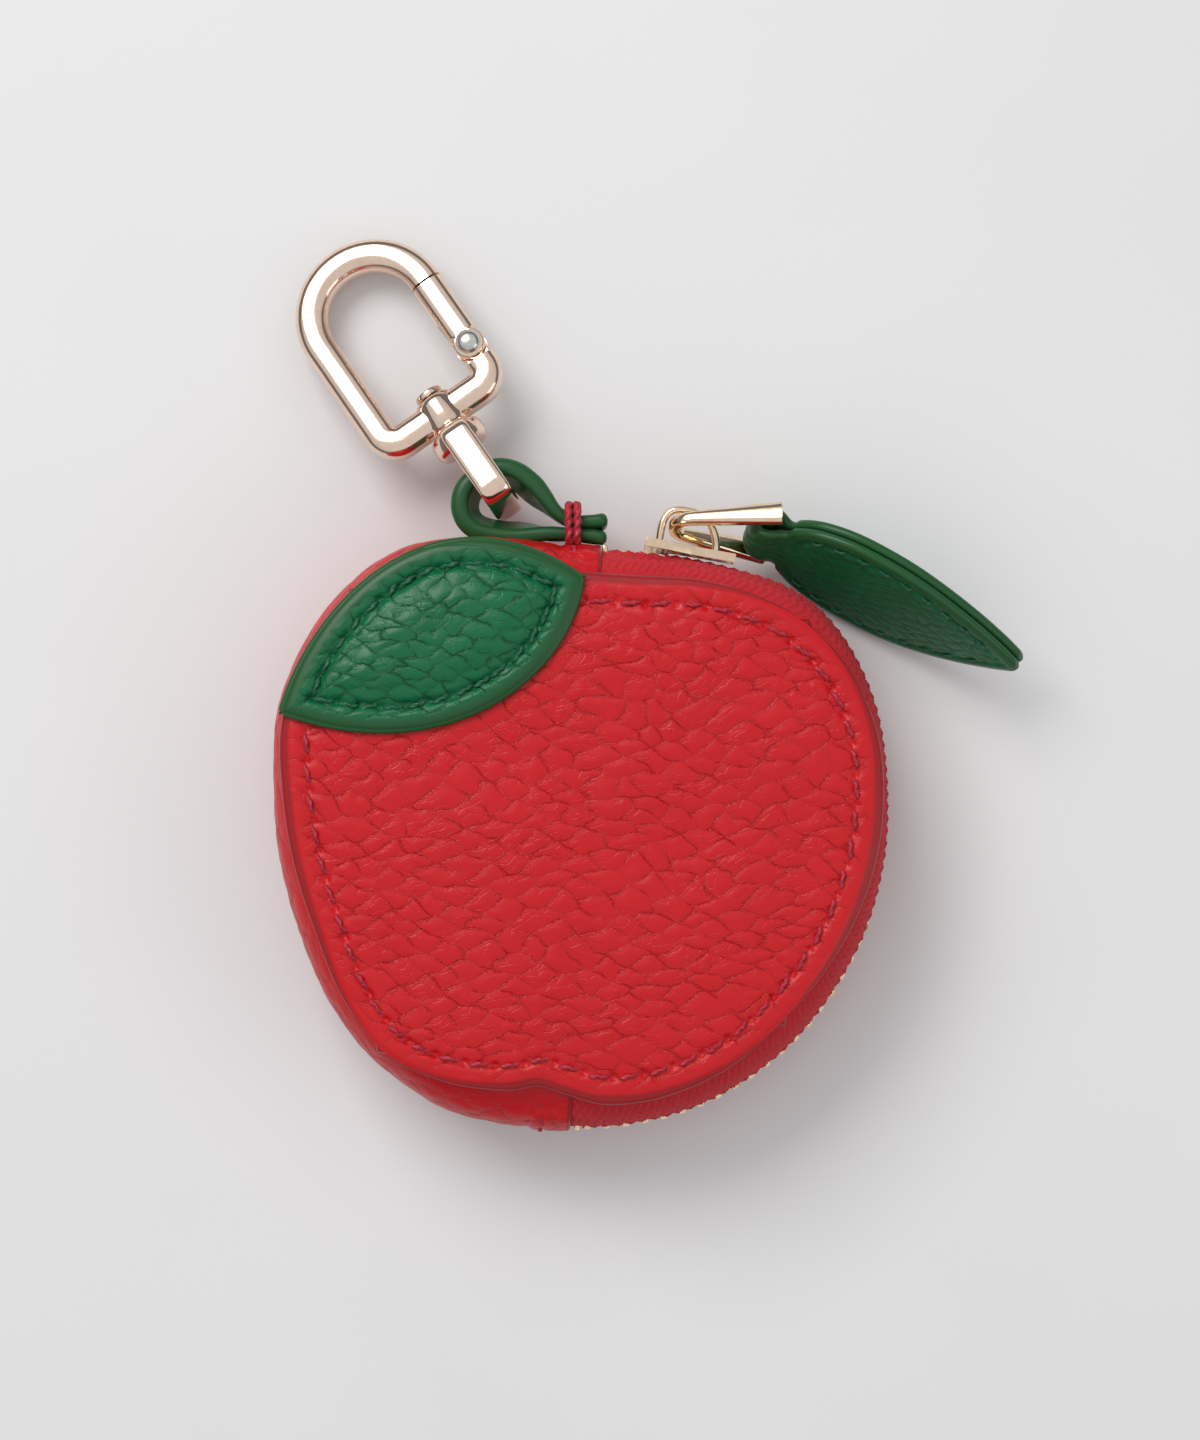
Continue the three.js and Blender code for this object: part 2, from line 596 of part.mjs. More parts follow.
const leafHalfWidths = [
  [-leafBack, 2.7], [-leafBack + 0.5, 3.2], [0, 4.1], [2.8, 4.5], [3.2, 6.6], [6.4, 8.4], [10.6, 9.9],
  [15, 10.3], [20.4, 9.8], [25.8, 8.3], [31.2, 5.9], [35.6, 3.3], [38.1, 1.5], [39, 0.7],
];
const leafPlan = [
  ...leafHalfWidths.map(([x, h]) => [x, -h]),
  ...leafHalfWidths.map(([x, h]) => [x, h]).reverse(),
];
const foldRadius = ringEndBarRadius + pinClearance + 1;
const leafPull = cut(
  join(slab(leafPlan, -leafThickness / 2, leafThickness / 2), rodZ(foldRadius, -3.9, 3.9)),
  rodZ(ringEndBarRadius + pinClearance, -9, 9),
);
const pullLeaf = addGroup("pull_leaf", ringEndPoint, leafAxis, barAxis);
add("leaf_pull", leafPull, greenLeather, pullLeaf);

// ---- The clasp: an eye on the strap, and a hook that turns on the eye's stud ---------------------
// Drawn with x from the eye's end bar to the hook's top, y to its left and z up, and placed at the end.
const claspLevel = new THREE.Vector3(Math.cos(rad(claspHeading)), Math.sin(rad(claspHeading)), 0);
const claspLeft = new THREE.Vector3().crossVectors(up, claspLevel);
const claspAxis = claspLevel.clone().applyAxisAngle(claspLeft, rad(claspDroop));
const claspUp = up.clone().applyAxisAngle(claspLeft, rad(claspDroop));
const clasp = addGroup("clasp", new THREE.Vector3(...claspPivot, middle), claspAxis, claspUp);
const eyeFrom = -eyeBar / 2;
const eyeTo = eyeFrom + eyeLength;
const eyeHalf = eyeWindow / 2 + eyeBar;
const eyeFrame = cut(
  block(eyeFrom, eyeTo, -eyeDepth / 2, eyeDepth / 2, -eyeHalf, eyeHalf),
  block(eyeFrom + eyeBar, eyeTo - bossLength, -eyeDepth, eyeDepth, -eyeWindow / 2, eyeWindow / 2),
);
add("swivel_eye", join(eyeFrame, rodX(bossRadius, eyeTo - bossLength, eyeTo)), gold, clasp);

const collarFrom = eyeTo + swivelGap;
const collarTo = collarFrom + collarLength;
const studHeadFrom = collarTo + layerGap;
const stud = join(
  rodX(studRadius, eyeTo + 0.1, studHeadFrom + 0.2, 16),
  rodX(studHeadRadius, studHeadFrom, studHeadFrom + studHeadHeight, 16),
);
add("swivel_stud", stud, gold, clasp);

// The hook's bar runs from the tongue, round the bottom, up the left side and over the top to the nose.
const barMiddle = (hookWidth - hookBar) / 2;
const bottomX = (collarFrom + collarTo) / 2;
const arcX = gateJoint + gateGap + 0.5;
const arc = (x, y, radius, from, to, count) =>
  steps(from, to, count).map((a) => [x + radius * Math.cos(rad(a)), y + radius * Math.sin(rad(a))]);
const hookLine = [
  [gatePivot - hookBar / 2 - gateGap, -barMiddle],
  ...arc(bottomX + hookCorner, -barMiddle + hookCorner, hookCorner, -90, -180, 5),
  ...arc(bottomX + hookCorner, barMiddle - hookCorner, hookCorner, 180, 90, 5),
  ...arc(arcX, 0, barMiddle, 90, -90, 14),
  [gateJoint + gateGap, -barMiddle],
];
const sectionCorner = 0.32; // share of the half bar that is bevelled off
const barSection = [
  [-1, -1 + sectionCorner], [-1 + sectionCorner, -1], [1 - sectionCorner, -1], [1, -1 + sectionCorner],
  [1, 1 - sectionCorner], [1 - sectionCorner, 1], [-1 + sectionCorner, 1], [-1, 1 - sectionCorner],
].map(([a, b]) => new THREE.Vector2((a * hookBar) / 2, (b * hookBar) / 2));
function barAlong(line) {
  const sections = line.map((p, i) => {
    const a = line[Math.max(i - 1, 0)];
    const b = line[Math.min(i + 1, line.length - 1)];
    const size = Math.hypot(b[0] - a[0], b[1] - a[1]);
    const left = [-(b[1] - a[1]) / size, (b[0] - a[0]) / size];
    return barSection.map((s) => new THREE.Vector3(p[0] + left[0] * s.x, p[1] + left[1] * s.x, s.y));
  });
  return loft(sections, barSection);
}
const tongue = gateTongue / 2;
const rootHalf = hookBar * 0.36;
const cheekClear = tongue + gateGap;
const hookBody = cut(
  join(
    barAlong(hookLine),
    rodX(collarRadius, collarFrom, collarTo),
    block(gatePivot - 3.6, gatePivot, -barMiddle - rootHalf, -barMiddle + rootHalf, -tongue, tongue),
    rodZ(hookBar * 0.4, -tongue, tongue, gatePivot, -barMiddle),
  ),
  rodX(studRadius + pinClearance, collarFrom - 1, collarTo + 1, 16),
  rodZ(gatePinRadius + 0.02, -5, 5, gatePivot, -barMiddle),
);
add("hook_body", hookBody, gold, clasp);

// The gate's two cheeks straddle the tongue.
const gateLow = gatePivot - hookBar / 2;
const gate = cut(
  join(
    barAlong([[gatePivot, -barMiddle], [gateJoint, -barMiddle]]),
    common(
      rodZ(hookBar / 2, -hookBar / 2, hookBar / 2, gatePivot, -barMiddle),
      block(gateLow, gatePivot + 1, -barMiddle - hookBar, -barMiddle + hookBar, -hookBar / 2, hookBar / 2),
    ),
  ),
  block(gateLow - 1, gatePivot + 4.6, -barMiddle - hookBar, -barMiddle + hookBar, -cheekClear, cheekClear),
  rodZ(gatePinRadius + pinClearance, -5, 5, gatePivot, -barMiddle),
);
add("hook_gate", gate, gold, clasp);

// A riveted pin with a domed head on each side.
const pinReach = hookBar / 2 + 0.15;
const headDome = (side) => {
  const profile = [
    [0, 0], [gatePinHead, 0], [gatePinHead * 0.92, 0.45], [gatePinHead * 0.6, 0.85], [0, 1.0],
  ];
  const dome = new THREE.LatheGeometry(profile.map(([r, y]) => new THREE.Vector2(r, y)), 16);
  dome.rotateX(side * Math.PI / 2);
  return dome.translate(gatePivot, -barMiddle, side * pinReach);
};
const shank = rodZ(gatePinRadius, -pinReach - 0.1, pinReach + 0.1, gatePivot, -barMiddle, 16);
const pin = join(shank, headDome(1), headDome(-1));
add("gate_pin", pin, steel, clasp);

// The gate's leaf spring lies in the gate's slot, past the tongue's round end.
const springFrom = gatePivot + hookBar * 0.4 + gateGap;
const springTo = gatePivot + 4.6 - 0.1;
const springY = -barMiddle - 0.3;
const spring = extrude(
  [
    [springFrom, springY], [springTo, springY - 0.6],
    [springTo, springY - 0.2], [springFrom, springY + 0.4],
  ],
  -0.8, 0.8,
);
add("gate_spring", spring, steel, clasp);

export default purse;
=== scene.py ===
"""An apple-shaped leather coin purse with a zip, a leaf-shaped pull and a swivel clasp, lying on its
back. Sections follow the purse as it is made: leather panels first, then stitching, lining, gusset,
zip, leaf, strap, slider, pull and clasp. Sizes are in millimetres until a mesh is made.
"""
import math

import bmesh
import bpy
import numpy as np
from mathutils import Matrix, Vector


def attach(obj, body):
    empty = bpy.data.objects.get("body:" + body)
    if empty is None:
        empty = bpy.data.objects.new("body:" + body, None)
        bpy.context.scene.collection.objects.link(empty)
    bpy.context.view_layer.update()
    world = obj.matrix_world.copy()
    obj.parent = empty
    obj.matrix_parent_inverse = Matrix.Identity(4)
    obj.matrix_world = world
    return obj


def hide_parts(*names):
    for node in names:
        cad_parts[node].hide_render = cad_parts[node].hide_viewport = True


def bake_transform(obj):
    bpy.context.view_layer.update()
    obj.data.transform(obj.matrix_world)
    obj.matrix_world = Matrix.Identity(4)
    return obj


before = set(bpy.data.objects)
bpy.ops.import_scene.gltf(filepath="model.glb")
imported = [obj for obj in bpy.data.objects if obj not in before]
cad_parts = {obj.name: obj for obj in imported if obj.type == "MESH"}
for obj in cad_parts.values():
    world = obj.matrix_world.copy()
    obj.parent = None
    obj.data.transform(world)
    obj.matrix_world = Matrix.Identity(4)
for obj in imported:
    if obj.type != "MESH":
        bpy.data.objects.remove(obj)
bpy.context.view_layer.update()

# ---- The table, the light and the camera --------------------------------------------------------
# The purse lies on a smooth pale table under a large soft window above and to its left. The camera
# looks straight down from half a metre.
MM = 0.001
scene = bpy.context.scene
scene.view_settings.view_transform = "Standard"


def node_material(name, **sockets):
    """A material whose shader has these constant sockets, with its node tree and its shader."""
    material = bpy.data.materials.new(name)
    material.use_nodes = True
    shader = material.node_tree.nodes["Principled BSDF"]
    for socket, value in sockets.items():
        shader.inputs[socket.replace("_", " ")].default_value = value
    return material, material.node_tree, shader


def add_node(tree, kind, inputs=None, **settings):
    """A node with its settings, each input linked to a socket or set to a value."""
    node = tree.nodes.new(kind)
    for key, value in settings.items():
        setattr(node, key, value)
    for key, value in (inputs or {}).items():
        if isinstance(value, bpy.types.NodeSocket):
            tree.links.new(value, node.inputs[key])
        else:
            node.inputs[key].default_value = value
    return node


def ramp(tree, factor, stops):
    """A colour from a factor, through stops of (position, colour)."""
    node = add_node(tree, "ShaderNodeValToRGB", {"Fac": factor})
    elements = node.color_ramp.elements
    while len(elements) < len(stops):
        elements.new(0.5)
    for element, (position, colour) in zip(elements, stops):
        element.position = position
        element.color = (*colour, 1)
    return node.outputs["Color"]


def noise(tree, place, scale, detail=2.0, **settings):
    """Smooth noise from 0 to 1."""
    inputs = {"Vector": place, "Scale": scale, "Detail": detail}
    return add_node(tree, "ShaderNodeTexNoise", inputs, **settings).outputs["Fac"]


table_material, tree, shader = node_material("table", Roughness=0.62)
place = add_node(tree, "ShaderNodeTexCoord").outputs["Object"]
cloud = noise(tree, place, 14.0, 3.0)
tone = ramp(tree, cloud, [(0.3, (0.79, 0.795, 0.805)), (0.7, (0.82, 0.823, 0.83))])
tree.links.new(tone, shader.inputs["Base Color"])
bpy.ops.mesh.primitive_plane_add(size=3.0, location=(0, 0, 0))
table = bpy.context.object
table.name = "table"
table.data.materials.append(table_material)

world = bpy.data.worlds.new("studio")
world.use_nodes = True
scene.world = world
sky = world.node_tree
view_way = add_node(sky, "ShaderNodeTexCoord").outputs["Generated"]
height = add_node(sky, "ShaderNodeSeparateXYZ", {"Vector": view_way}).outputs["Z"]
room = ramp(sky, height, [
    (0.0, (0.16, 0.15, 0.15)), (0.28, (0.34, 0.33, 0.33)), (0.40, (0.05, 0.045, 0.04)),
    (0.50, (0.84, 0.85, 0.87)), (0.8, (1.0, 1.0, 1.0)),
])
sky.links.new(room, sky.nodes["Background"].inputs["Color"])
sky.nodes["Background"].inputs["Strength"].default_value = 0.68


def soft_light(name, place_m, size_m, watts, colour=(1, 1, 1)):
    light = bpy.data.lights.new(name, "AREA")
    light.shape = "RECTANGLE"
    light.size, light.size_y = size_m
    light.energy = watts
    light.color = colour
    lamp = bpy.data.objects.new(name, light)
    lamp.location = place_m
    lamp.rotation_euler = (-Vector(place_m)).to_track_quat("-Z", "Y").to_euler()
    scene.collection.objects.link(lamp)


soft_light("window", (-0.42, 0.60, 0.78), (0.62, 0.50), 6.0, (1, 0.985, 0.965))
soft_light("bounce", (0.80, -0.30, 0.45), (0.5, 0.5), 0.8)

camera = bpy.data.objects.new("camera", bpy.data.cameras.new("camera"))
camera.data.lens = 93.9
camera.data.clip_start = 0.01
camera.location = (0.67 * MM, 15.3 * MM, 524 * MM)
scene.collection.objects.link(camera)
scene.camera = camera

# ---- Leather panels -----------------------------------------------------------------------------
# Front and back are cut from thick pebbled leather to an apple outline. The cut edge is rounded over
# and painted, and a row of stitches runs just inside it. The front panel stays fixed where it lies.
DEPTH = 24.0
PANEL = 1.8
STITCH_INSET = 3.7
STITCH_PITCH = 4.1
PANEL_RIM = [
    (90, 34.9), (79, 35.1), (68, 36.8), (57, 38.7), (46, 40.3), (34, 40.8), (21, 40.2), (8, 38.8),
    (-6, 37.5), (-22, 36.4), (-40, 35.8), (-58, 36.1), (-74, 36.2), (-87, 36.0), (-96, 34.9),
    (-103, 34.4), (-110, 36.3), (-122, 39.0), (-134, 40.9), (-147, 40.4), (-160, 39.6), (-174, 40.3),
    (-187, 41.9), (-200, 44.5), (-212, 46.0), (-224, 46.4), (-235, 45.2), (-245, 42.4), (-254, 39.0),
    (-262, 36.0),
]


def mix_colour(tree, factor, a, b):
    node = add_node(tree, "ShaderNodeMix", {"Factor": factor}, data_type="RGBA")
    for slot, colour in ((6, a), (7, b)):
        if isinstance(colour, bpy.types.NodeSocket):
            tree.links.new(colour, node.inputs[slot])
        else:
            node.inputs[slot].default_value = (*colour, 1)
    return node.outputs[2]


def remap(tree, value, from_min, from_max, to_min, to_max, smooth=False):
    node = add_node(tree, "ShaderNodeMapRange", interpolation_type="SMOOTHSTEP" if smooth else "LINEAR")
    tree.links.new(value, node.inputs["Value"])
    ends = {"From Min": from_min, "From Max": from_max, "To Min": to_min, "To Max": to_max}
    for key, number in ends.items():
        node.inputs[key].default_value = number
    return node.outputs["Result"]


def product(tree, a, b):
    return add_node(tree, "ShaderNodeMath", {0: a, 1: b}, operation="MULTIPLY").outputs[0]


def sum_of(tree, *terms):
    """The sum of (factor, socket) or (factor, socket, socket) products."""
    total = None
    for factor, *sockets in terms:
        part = product(tree, sockets[0], factor)
        if len(sockets) > 1:
            part = product(tree, part, sockets[1])
        if total is None:
            total = part
        else:
            total = add_node(tree, "ShaderNodeMath", {0: total, 1: part}, operation="ADD").outputs[0]
    return total


def pebbles(tree, place):
    """Pebbled grain over a flat hide, from nodes that geometry and shaders share. Returns the height
    of the pebbles, the height of the sharp lines between them, both in mm, and the main creases."""

    def wander(vector, scale, amount):
        """The place moved about at random, by up to half the amount."""
        inputs = {"Vector": vector, "Scale": scale, "Detail": 1.0}
        cloud = add_node(tree, "ShaderNodeTexNoise", inputs, noise_dimensions="2D").outputs["Color"]
        inputs = {0: cloud, 1: (0.5, 0.5, 0.5)}
        centred = add_node(tree, "ShaderNodeVectorMath", inputs, operation="SUBTRACT").outputs[0]
        inputs = {0: centred, 1: (amount,) * 3, 2: vector}
        return add_node(tree, "ShaderNodeVectorMath", inputs, operation="MULTIPLY_ADD").outputs[0]

    def to_edge(vector, wide, high, stray):
        """Distance to the edges of diamond cells of a size, strayed at random."""
        diagonals = []
        for way in (1, -1):
            inputs = {0: vector, 1: (1 / wide, way / high, 0)}
            dot = add_node(tree, "ShaderNodeVectorMath", inputs, operation="DOT_PRODUCT")
            diagonals.append(dot.outputs["Value"])
        slanted = add_node(tree, "ShaderNodeCombineXYZ", {"X": diagonals[0], "Y": diagonals[1]}).outputs[0]
        cell = add_node(
            tree, "ShaderNodeTexVoronoi", {"Vector": slanted, "Scale": 1.0, "Randomness": stray},
            voronoi_dimensions="2D", feature="DISTANCE_TO_EDGE",
        )
        return cell.outputs["Distance"]

    def patches(scale, low, high):
        return remap(tree, noise(tree, place, scale, noise_dimensions="2D"), 0.38, 0.62, low, high, True)

    lie = wander(wander(place, 0.06, 5.0), 0.28, 1.7)
    main = to_edge(lie, 6.2, 3.4, 0.52)
    second = to_edge(wander(lie, 0.8, 0.7), 2.9, 1.5, 0.9)
    third = to_edge(wander(lie, 1.8, 0.3), 0.9, 0.42, 1.0)
    patchy, firm = patches(0.22, 0.0, 1.0), patches(0.33, 0.35, 1.0)
    dome = remap(tree, main, 0.0, 0.42, 0.0, 1.0, True)
    crease = product(tree, remap(tree, main, 0.0, 0.16, 1.0, 0.0, True), firm)
    line = remap(tree, main, 0.0, 0.045, 1.0, 0.0)
    faint = remap(tree, second, 0.0, 0.12, 1.0, 0.0, True)
    hair = remap(tree, third, 0.0, 0.14, 1.0, 0.0)
    relief = sum_of(tree, (0.12, dome), (-0.05, crease), (-0.015, faint, patchy))
    sharp = sum_of(
        tree, (-0.065, line, firm), (-0.032, faint, patchy), (-0.040, hair, crease), (-0.004, hair)
    )
    return relief, sharp, crease


def surface(tree, name, output="Fac"):
    """A surface attribute, as a shader reads it."""
    return add_node(tree, "ShaderNodeAttribute", attribute_name=name).outputs[output]


def bumped(tree, shader, height, deep, strength=1.0):
    """Shades a surface as if it were raised by its height times deep, in mm."""
    inputs = {"Height": height, "Distance": deep * MM, "Strength": strength}
    tree.links.new(add_node(tree, "ShaderNodeBump", inputs).outputs["Normal"], shader.inputs["Normal"])


def leather(name, base, deep, bright, painted):
    """Pebbled leather: darker in its creases as painted shade, glossier on its pebbles, painted on its cut
    edges.
    """
    material, tree, shader = node_material(name, Specular_IOR_Level=0.36)
    place = surface(tree, "flat", "Vector")
    grained, paint = surface(tree, "grained"), surface(tree, "paint")
    _, sharp, creases = pebbles(tree, place)
    creased = product(tree, creases, grained)
    tone = ramp(tree, noise(tree, place, 0.09, 4.0), [(0.3, base), (0.72, bright)])
    # Painted shade: the creases take the darker deep colour.
    tone = mix_colour(tree, creased, tone, deep)
    edge = remap(tree, paint, 0.25, 0.7, 0.0, 1.0)
    tree.links.new(mix_colour(tree, edge, tone, painted), shader.inputs["Base Color"])
    tree.links.new(remap(tree, creased, 0.0, 1.0, 0.34, 0.42), shader.inputs["Roughness"])
    pores = noise(tree, place, 5.0, 3.0)
    bumped(tree, shader, sum_of(tree, (1.0, sharp, grained), (0.012, pores)), 1.0)
    return material


# Each leather's deep colour is painted shade for its creases.
red_leather = leather(
    "red leather", base=(0.57, 0.003, 0.008), deep=(0.50, 0.003, 0.007),
    bright=(0.61, 0.005, 0.011), painted=(0.34, 0.008, 0.012),
)
green_leather = leather(
    "green leather", base=(0.001, 0.125, 0.040), deep=(0.001, 0.085, 0.026),
    bright=(0.002, 0.150, 0.052), painted=(0.014, 0.090, 0.024),
)


def radius_round(points, centre=(0, 0)):
    """Radius at any angle in radians, for an outline's points round a centre."""
    line = np.asarray(points, float) - centre
    angle = np.arctan2(line[:, 1], line[:, 0])
    order = np.argsort(angle)
    angle, radius = angle[order], np.hypot(*line[order].T)
    angle = np.concatenate([angle - 2 * np.pi, angle, angle + 2 * np.pi])
    radius = np.tile(radius, 3)

    def radius_at(a):
        return np.interp(np.mod(a + np.pi, 2 * np.pi) - np.pi, angle, radius)

    return radius_at


def curve_span(a, b, c, d, t):
    """A smooth curve from b to c, where a comes before them and d after."""
    return 0.5 * (2 * b + (c - a) * t + (2 * a - 5 * b + 4 * c - d) * t**2 + (3 * b - a - 3 * c + d) * t**3)


def through(degrees_radius):
    """A smooth closed curve through points of (degrees, radius), as radius at any angle."""
    pts = [(r * math.cos(math.radians(d)), r * math.sin(math.radians(d))) for d, r in degrees_radius]
    pts = np.array(pts)
    t = np.linspace(0, 1, 24, endpoint=False)[:, None]
    spans = zip(np.roll(pts, 1, 0), pts, np.roll(pts, -1, 0), np.roll(pts, -2, 0))
    return radius_round(np.concatenate([curve_span(*span, t) for span in spans]))


rim_radius = through(PANEL_RIM)
lattice = np.random.RandomState(7).rand(128, 128, 4)


def drift(x, y, size, channel=0):
    """Smooth noise from 0 to 1 with features of a size."""
    x, y = x / size + 40, y / size + 40
    i, j = np.floor(x).astype(int), np.floor(y).astype(int)
    u, v = x - i, y - j
    u, v = u * u * (3 - 2 * u), v * v * (3 - 2 * v)

    def corner(a, b):
        return lattice[a % 128, b % 128, channel]

    near = corner(i, j) * (1 - u) + corner(i + 1, j) * u
    far = corner(i, j + 1) * (1 - u) + corner(i + 1, j + 1) * u
    return near * (1 - v) + far * v


def make_mesh(name, points, faces, material, floats=None, flat=None):
    """An object from points in millimetres, its place in its mesh, with its surface attributes."""
    mesh = bpy.data.meshes.new(name)
    mesh.from_pydata((np.asarray(points) * MM).tolist(), [], faces)
    for key, values in (floats or {}).items():
        layer = mesh.attributes.new(key, "FLOAT", "POINT")
        layer.data.foreach_set("value", np.asarray(values, dtype=np.float32))
    if flat is not None:
        layer = mesh.attributes.new("flat", "FLOAT_VECTOR", "POINT")
        layer.data.foreach_set("vector", np.asarray(flat, dtype=np.float32).ravel())
    mesh.polygons.foreach_set("use_smooth", [True] * len(mesh.polygons))
    mesh.materials.append(material)
    made = bpy.data.objects.new(name, mesh)
    scene.collection.objects.link(made)
    return made


def face_outwards(made):
    work = bmesh.new()
    work.from_mesh(made.data)
    bmesh.ops.remove_doubles(work, verts=work.verts, dist=1e-7)
    bmesh.ops.recalc_face_normals(work, faces=work.faces)
    work.to_mesh(made.data)
    work.free()


def as_plain_mesh(made):
    """The object with its modifiers worked into its mesh."""
    shaped = bpy.data.meshes.new_from_object(made.evaluated_get(bpy.context.evaluated_depsgraph_get()))
    made.modifiers.clear()
    old, made.data = made.data, shaped
    bpy.data.meshes.remove(old)
    return made


def new_tree(name, *sockets):
    """A geometry tree with named inputs of (name, socket kind, default)."""
    tree = bpy.data.node_groups.new(name, "GeometryNodeTree")
    tree.interface.new_socket("Geometry", in_out="INPUT", socket_type="NodeSocketGeometry")
    for label, kind, default in sockets:
        item = tree.interface.new_socket(label, in_out="INPUT", socket_type=kind)
        if default is not None:
            item.default_value = default
    tree.interface.new_socket("Geometry", in_out="OUTPUT", socket_type="NodeSocketGeometry")
    return tree, add_node(tree, "NodeGroupInput").outputs, add_node(tree, "NodeGroupOutput")


def run_tree(made, tree, **values):
    """Runs a geometry tree on an object with its inputs set, and keeps the result as a plain mesh."""
    modifier = made.modifiers.new(tree.name, "NODES")
    modifier.node_group = tree
    for item in tree.interface.items_tree:
        if item.in_out == "INPUT" and item.name.replace(" ", "_") in values:
            modifier[item.identifier] = values[item.name.replace(" ", "_")]
    return as_plain_mesh(made)


def attribute(tree, name, kind="FLOAT_VECTOR"):
    """A surface attribute, as a geometry tree reads it."""
    node = add_node(tree, "GeometryNodeInputNamedAttribute", {"Name": name}, data_type=kind)
    return node.outputs["Attribute"]


def dress(tree, geometry, finish, result):
    """Ends a geometry tree by giving what it made its material."""
    dressed = add_node(tree, "GeometryNodeSetMaterial", {"Geometry": geometry, "Material": finish})
    tree.links.new(dressed.outputs[0], result.inputs[0])


grain_tree, given, result = new_tree(
    "pebbled grain", ("Depth", "NodeSocketFloat", 1.0), ("Leather", "NodeSocketMaterial", None)
)
relief, _, _ = pebbles(grain_tree, attribute(grain_tree, "flat"))
lift = sum_of(grain_tree, (MM, relief, attribute(grain_tree, "grained", "FLOAT")))
lift = product(grain_tree, lift, given["Depth"])
outward = add_node(grain_tree, "GeometryNodeInputNormal").outputs["Normal"]
inputs = {0: outward, "Scale": lift}
offset = add_node(grain_tree, "ShaderNodeVectorMath", inputs, operation="SCALE").outputs[0]
raised = add_node(grain_tree, "GeometryNodeSetPosition", {"Geometry": given["Geometry"], "Offset": offset})
dress(grain_tree, raised.outputs[0], given["Leather"], result)


def grid_faces(rows, columns, start=0, flip=False):
    i, j = np.meshgrid(np.arange(rows - 1), np.arange(columns - 1), indexing="ij")
    a = (start + i * columns + j).ravel()
    quad = np.stack([a, a + columns, a + columns + 1, a + 1], 1)
    return (quad[:, ::-1] if flip else quad).tolist()


def hide(
    name, middle, thickness, material, flat, relief=0.0, back=0.0, grained=0.0, paint=1.0, from_rim=None,
    turns=6,
):
    """A closed piece of leather or cloth from a grid of points down its middle, with its cut edges
    rounded. relief raises its face and back its other side, grained says how strong its face's grain
    is, and paint how wide the edge paint."""
    rows, columns, _ = middle.shape
    relief, back, grained = (value + np.zeros((rows, columns)) for value in (relief, back, grained))
    normal = np.cross(np.gradient(middle, axis=0), np.gradient(middle, axis=1))
    normal /= np.linalg.norm(normal, axis=2, keepdims=True) + 1e-12
    down, over = np.arange(rows), np.arange(1, columns - 1)
    i = np.concatenate([down, np.full(columns - 2, rows - 1), down[::-1], np.zeros(columns - 2, int)])
    j = np.concatenate([np.zeros(rows, int), over, np.full(rows, columns - 1), over[::-1]])
    rim = middle[i, j]
    out = rim - middle[np.clip(i, 1, rows - 2), np.clip(j, 1, columns - 2)]
    out -= normal[i, j] * np.sum(out * normal[i, j], 1, keepdims=True)
    out /= np.linalg.norm(out, axis=1, keepdims=True) + 1e-12
    if from_rim is None:
        sides = (middle[:1], middle[-1:], middle[:, :1], middle[:, -1:])
        from_rim = np.minimum.reduce([np.linalg.norm(middle - side, axis=2) for side in sides])
    front, rear = thickness / 2 + relief, thickness / 2 + back
    edge_paint = np.clip(1 - from_rim / max(paint, 1e-6), 0, 1).ravel()
    flat = np.dstack([flat, np.zeros((rows, columns))]).reshape(-1, 3)
    face, underside = middle + normal * front[..., None], middle - normal * rear[..., None]
    points = [face.reshape(-1, 3), underside.reshape(-1, 3)]
    faces = grid_faces(rows, columns) + grid_faces(rows, columns, rows * columns, True)
    paints, flats = [edge_paint, edge_paint], [flat, flat]
    grains = [grained.ravel(), np.zeros(rows * columns)]
    loop = i * columns + j
    last, count, n = loop, 2 * rows * columns, len(loop)
    centre, half = (front - rear)[i, j] / 2, (front + rear)[i, j] / 2
    for k in range(1, turns + 1):
        if k < turns:
            turn = math.pi * k / turns
            lift = centre + half * math.cos(turn)
            points.append(rim + normal[i, j] * lift[:, None] + out * (thickness * 0.4 * math.sin(turn)))
            here = count + np.arange(n)
            paints.append(np.ones(n))
            grains.append(np.zeros(n))
            flats.append(flat[loop])
            count += n
        else:
            here = loop + rows * columns
        faces += np.stack([np.roll(last, -1), np.roll(here, -1), here, last], 1).tolist()
        last = here
    attributes = {"paint": np.concatenate(paints), "grained": np.concatenate(grains)}
    made = make_mesh(name, np.concatenate(points), faces, material, attributes, np.concatenate(flats))
    face_outwards(made)
    return made


def spaced(line, pitch, shift=0.0, closed=False):
    """Points at equal distances along a dense line, as near to the pitch as fits, and the way it runs
    at each. shift is the first one's distance from the line's start, as a share of the pitch."""
    line = np.asarray(line, float)
    walked = np.concatenate([[0], np.cumsum(np.linalg.norm(np.diff(line, axis=0), axis=1))])
    count = round(walked[-1] / pitch)
    at = (np.arange(count if closed or shift else count + 1) + shift) * walked[-1] / count

    def on(distance):
        distance = np.clip(distance, 0, walked[-1])
        return np.stack([np.interp(distance, walked, column) for column in line.T], 1)

    return on(at), on(at + 0.3) - on(at - 0.3)


round_angles = np.linspace(0, 2 * np.pi, 3000)
stitch_rim = rim_radius(round_angles) - STITCH_INSET
stitch_path = np.stack([stitch_rim * np.cos(round_angles), stitch_rim * np.sin(round_angles)], 1)
panel_holes, _ = spaced(stitch_path, STITCH_PITCH, closed=True)


def pull_in(x, y, holes, off_row):
    """How far a row of stitches pulls leather in: a shallow channel, and a dimple at each hole."""
    near = np.full(x.shape, 99.0)
    for hx, hy in holes:
        near = np.minimum(near, (x - hx) ** 2 + (y - hy) ** 2)
    return 0.22 * np.exp(-((off_row / 0.8) ** 2)) + 0.50 * np.exp(-near / 0.22)


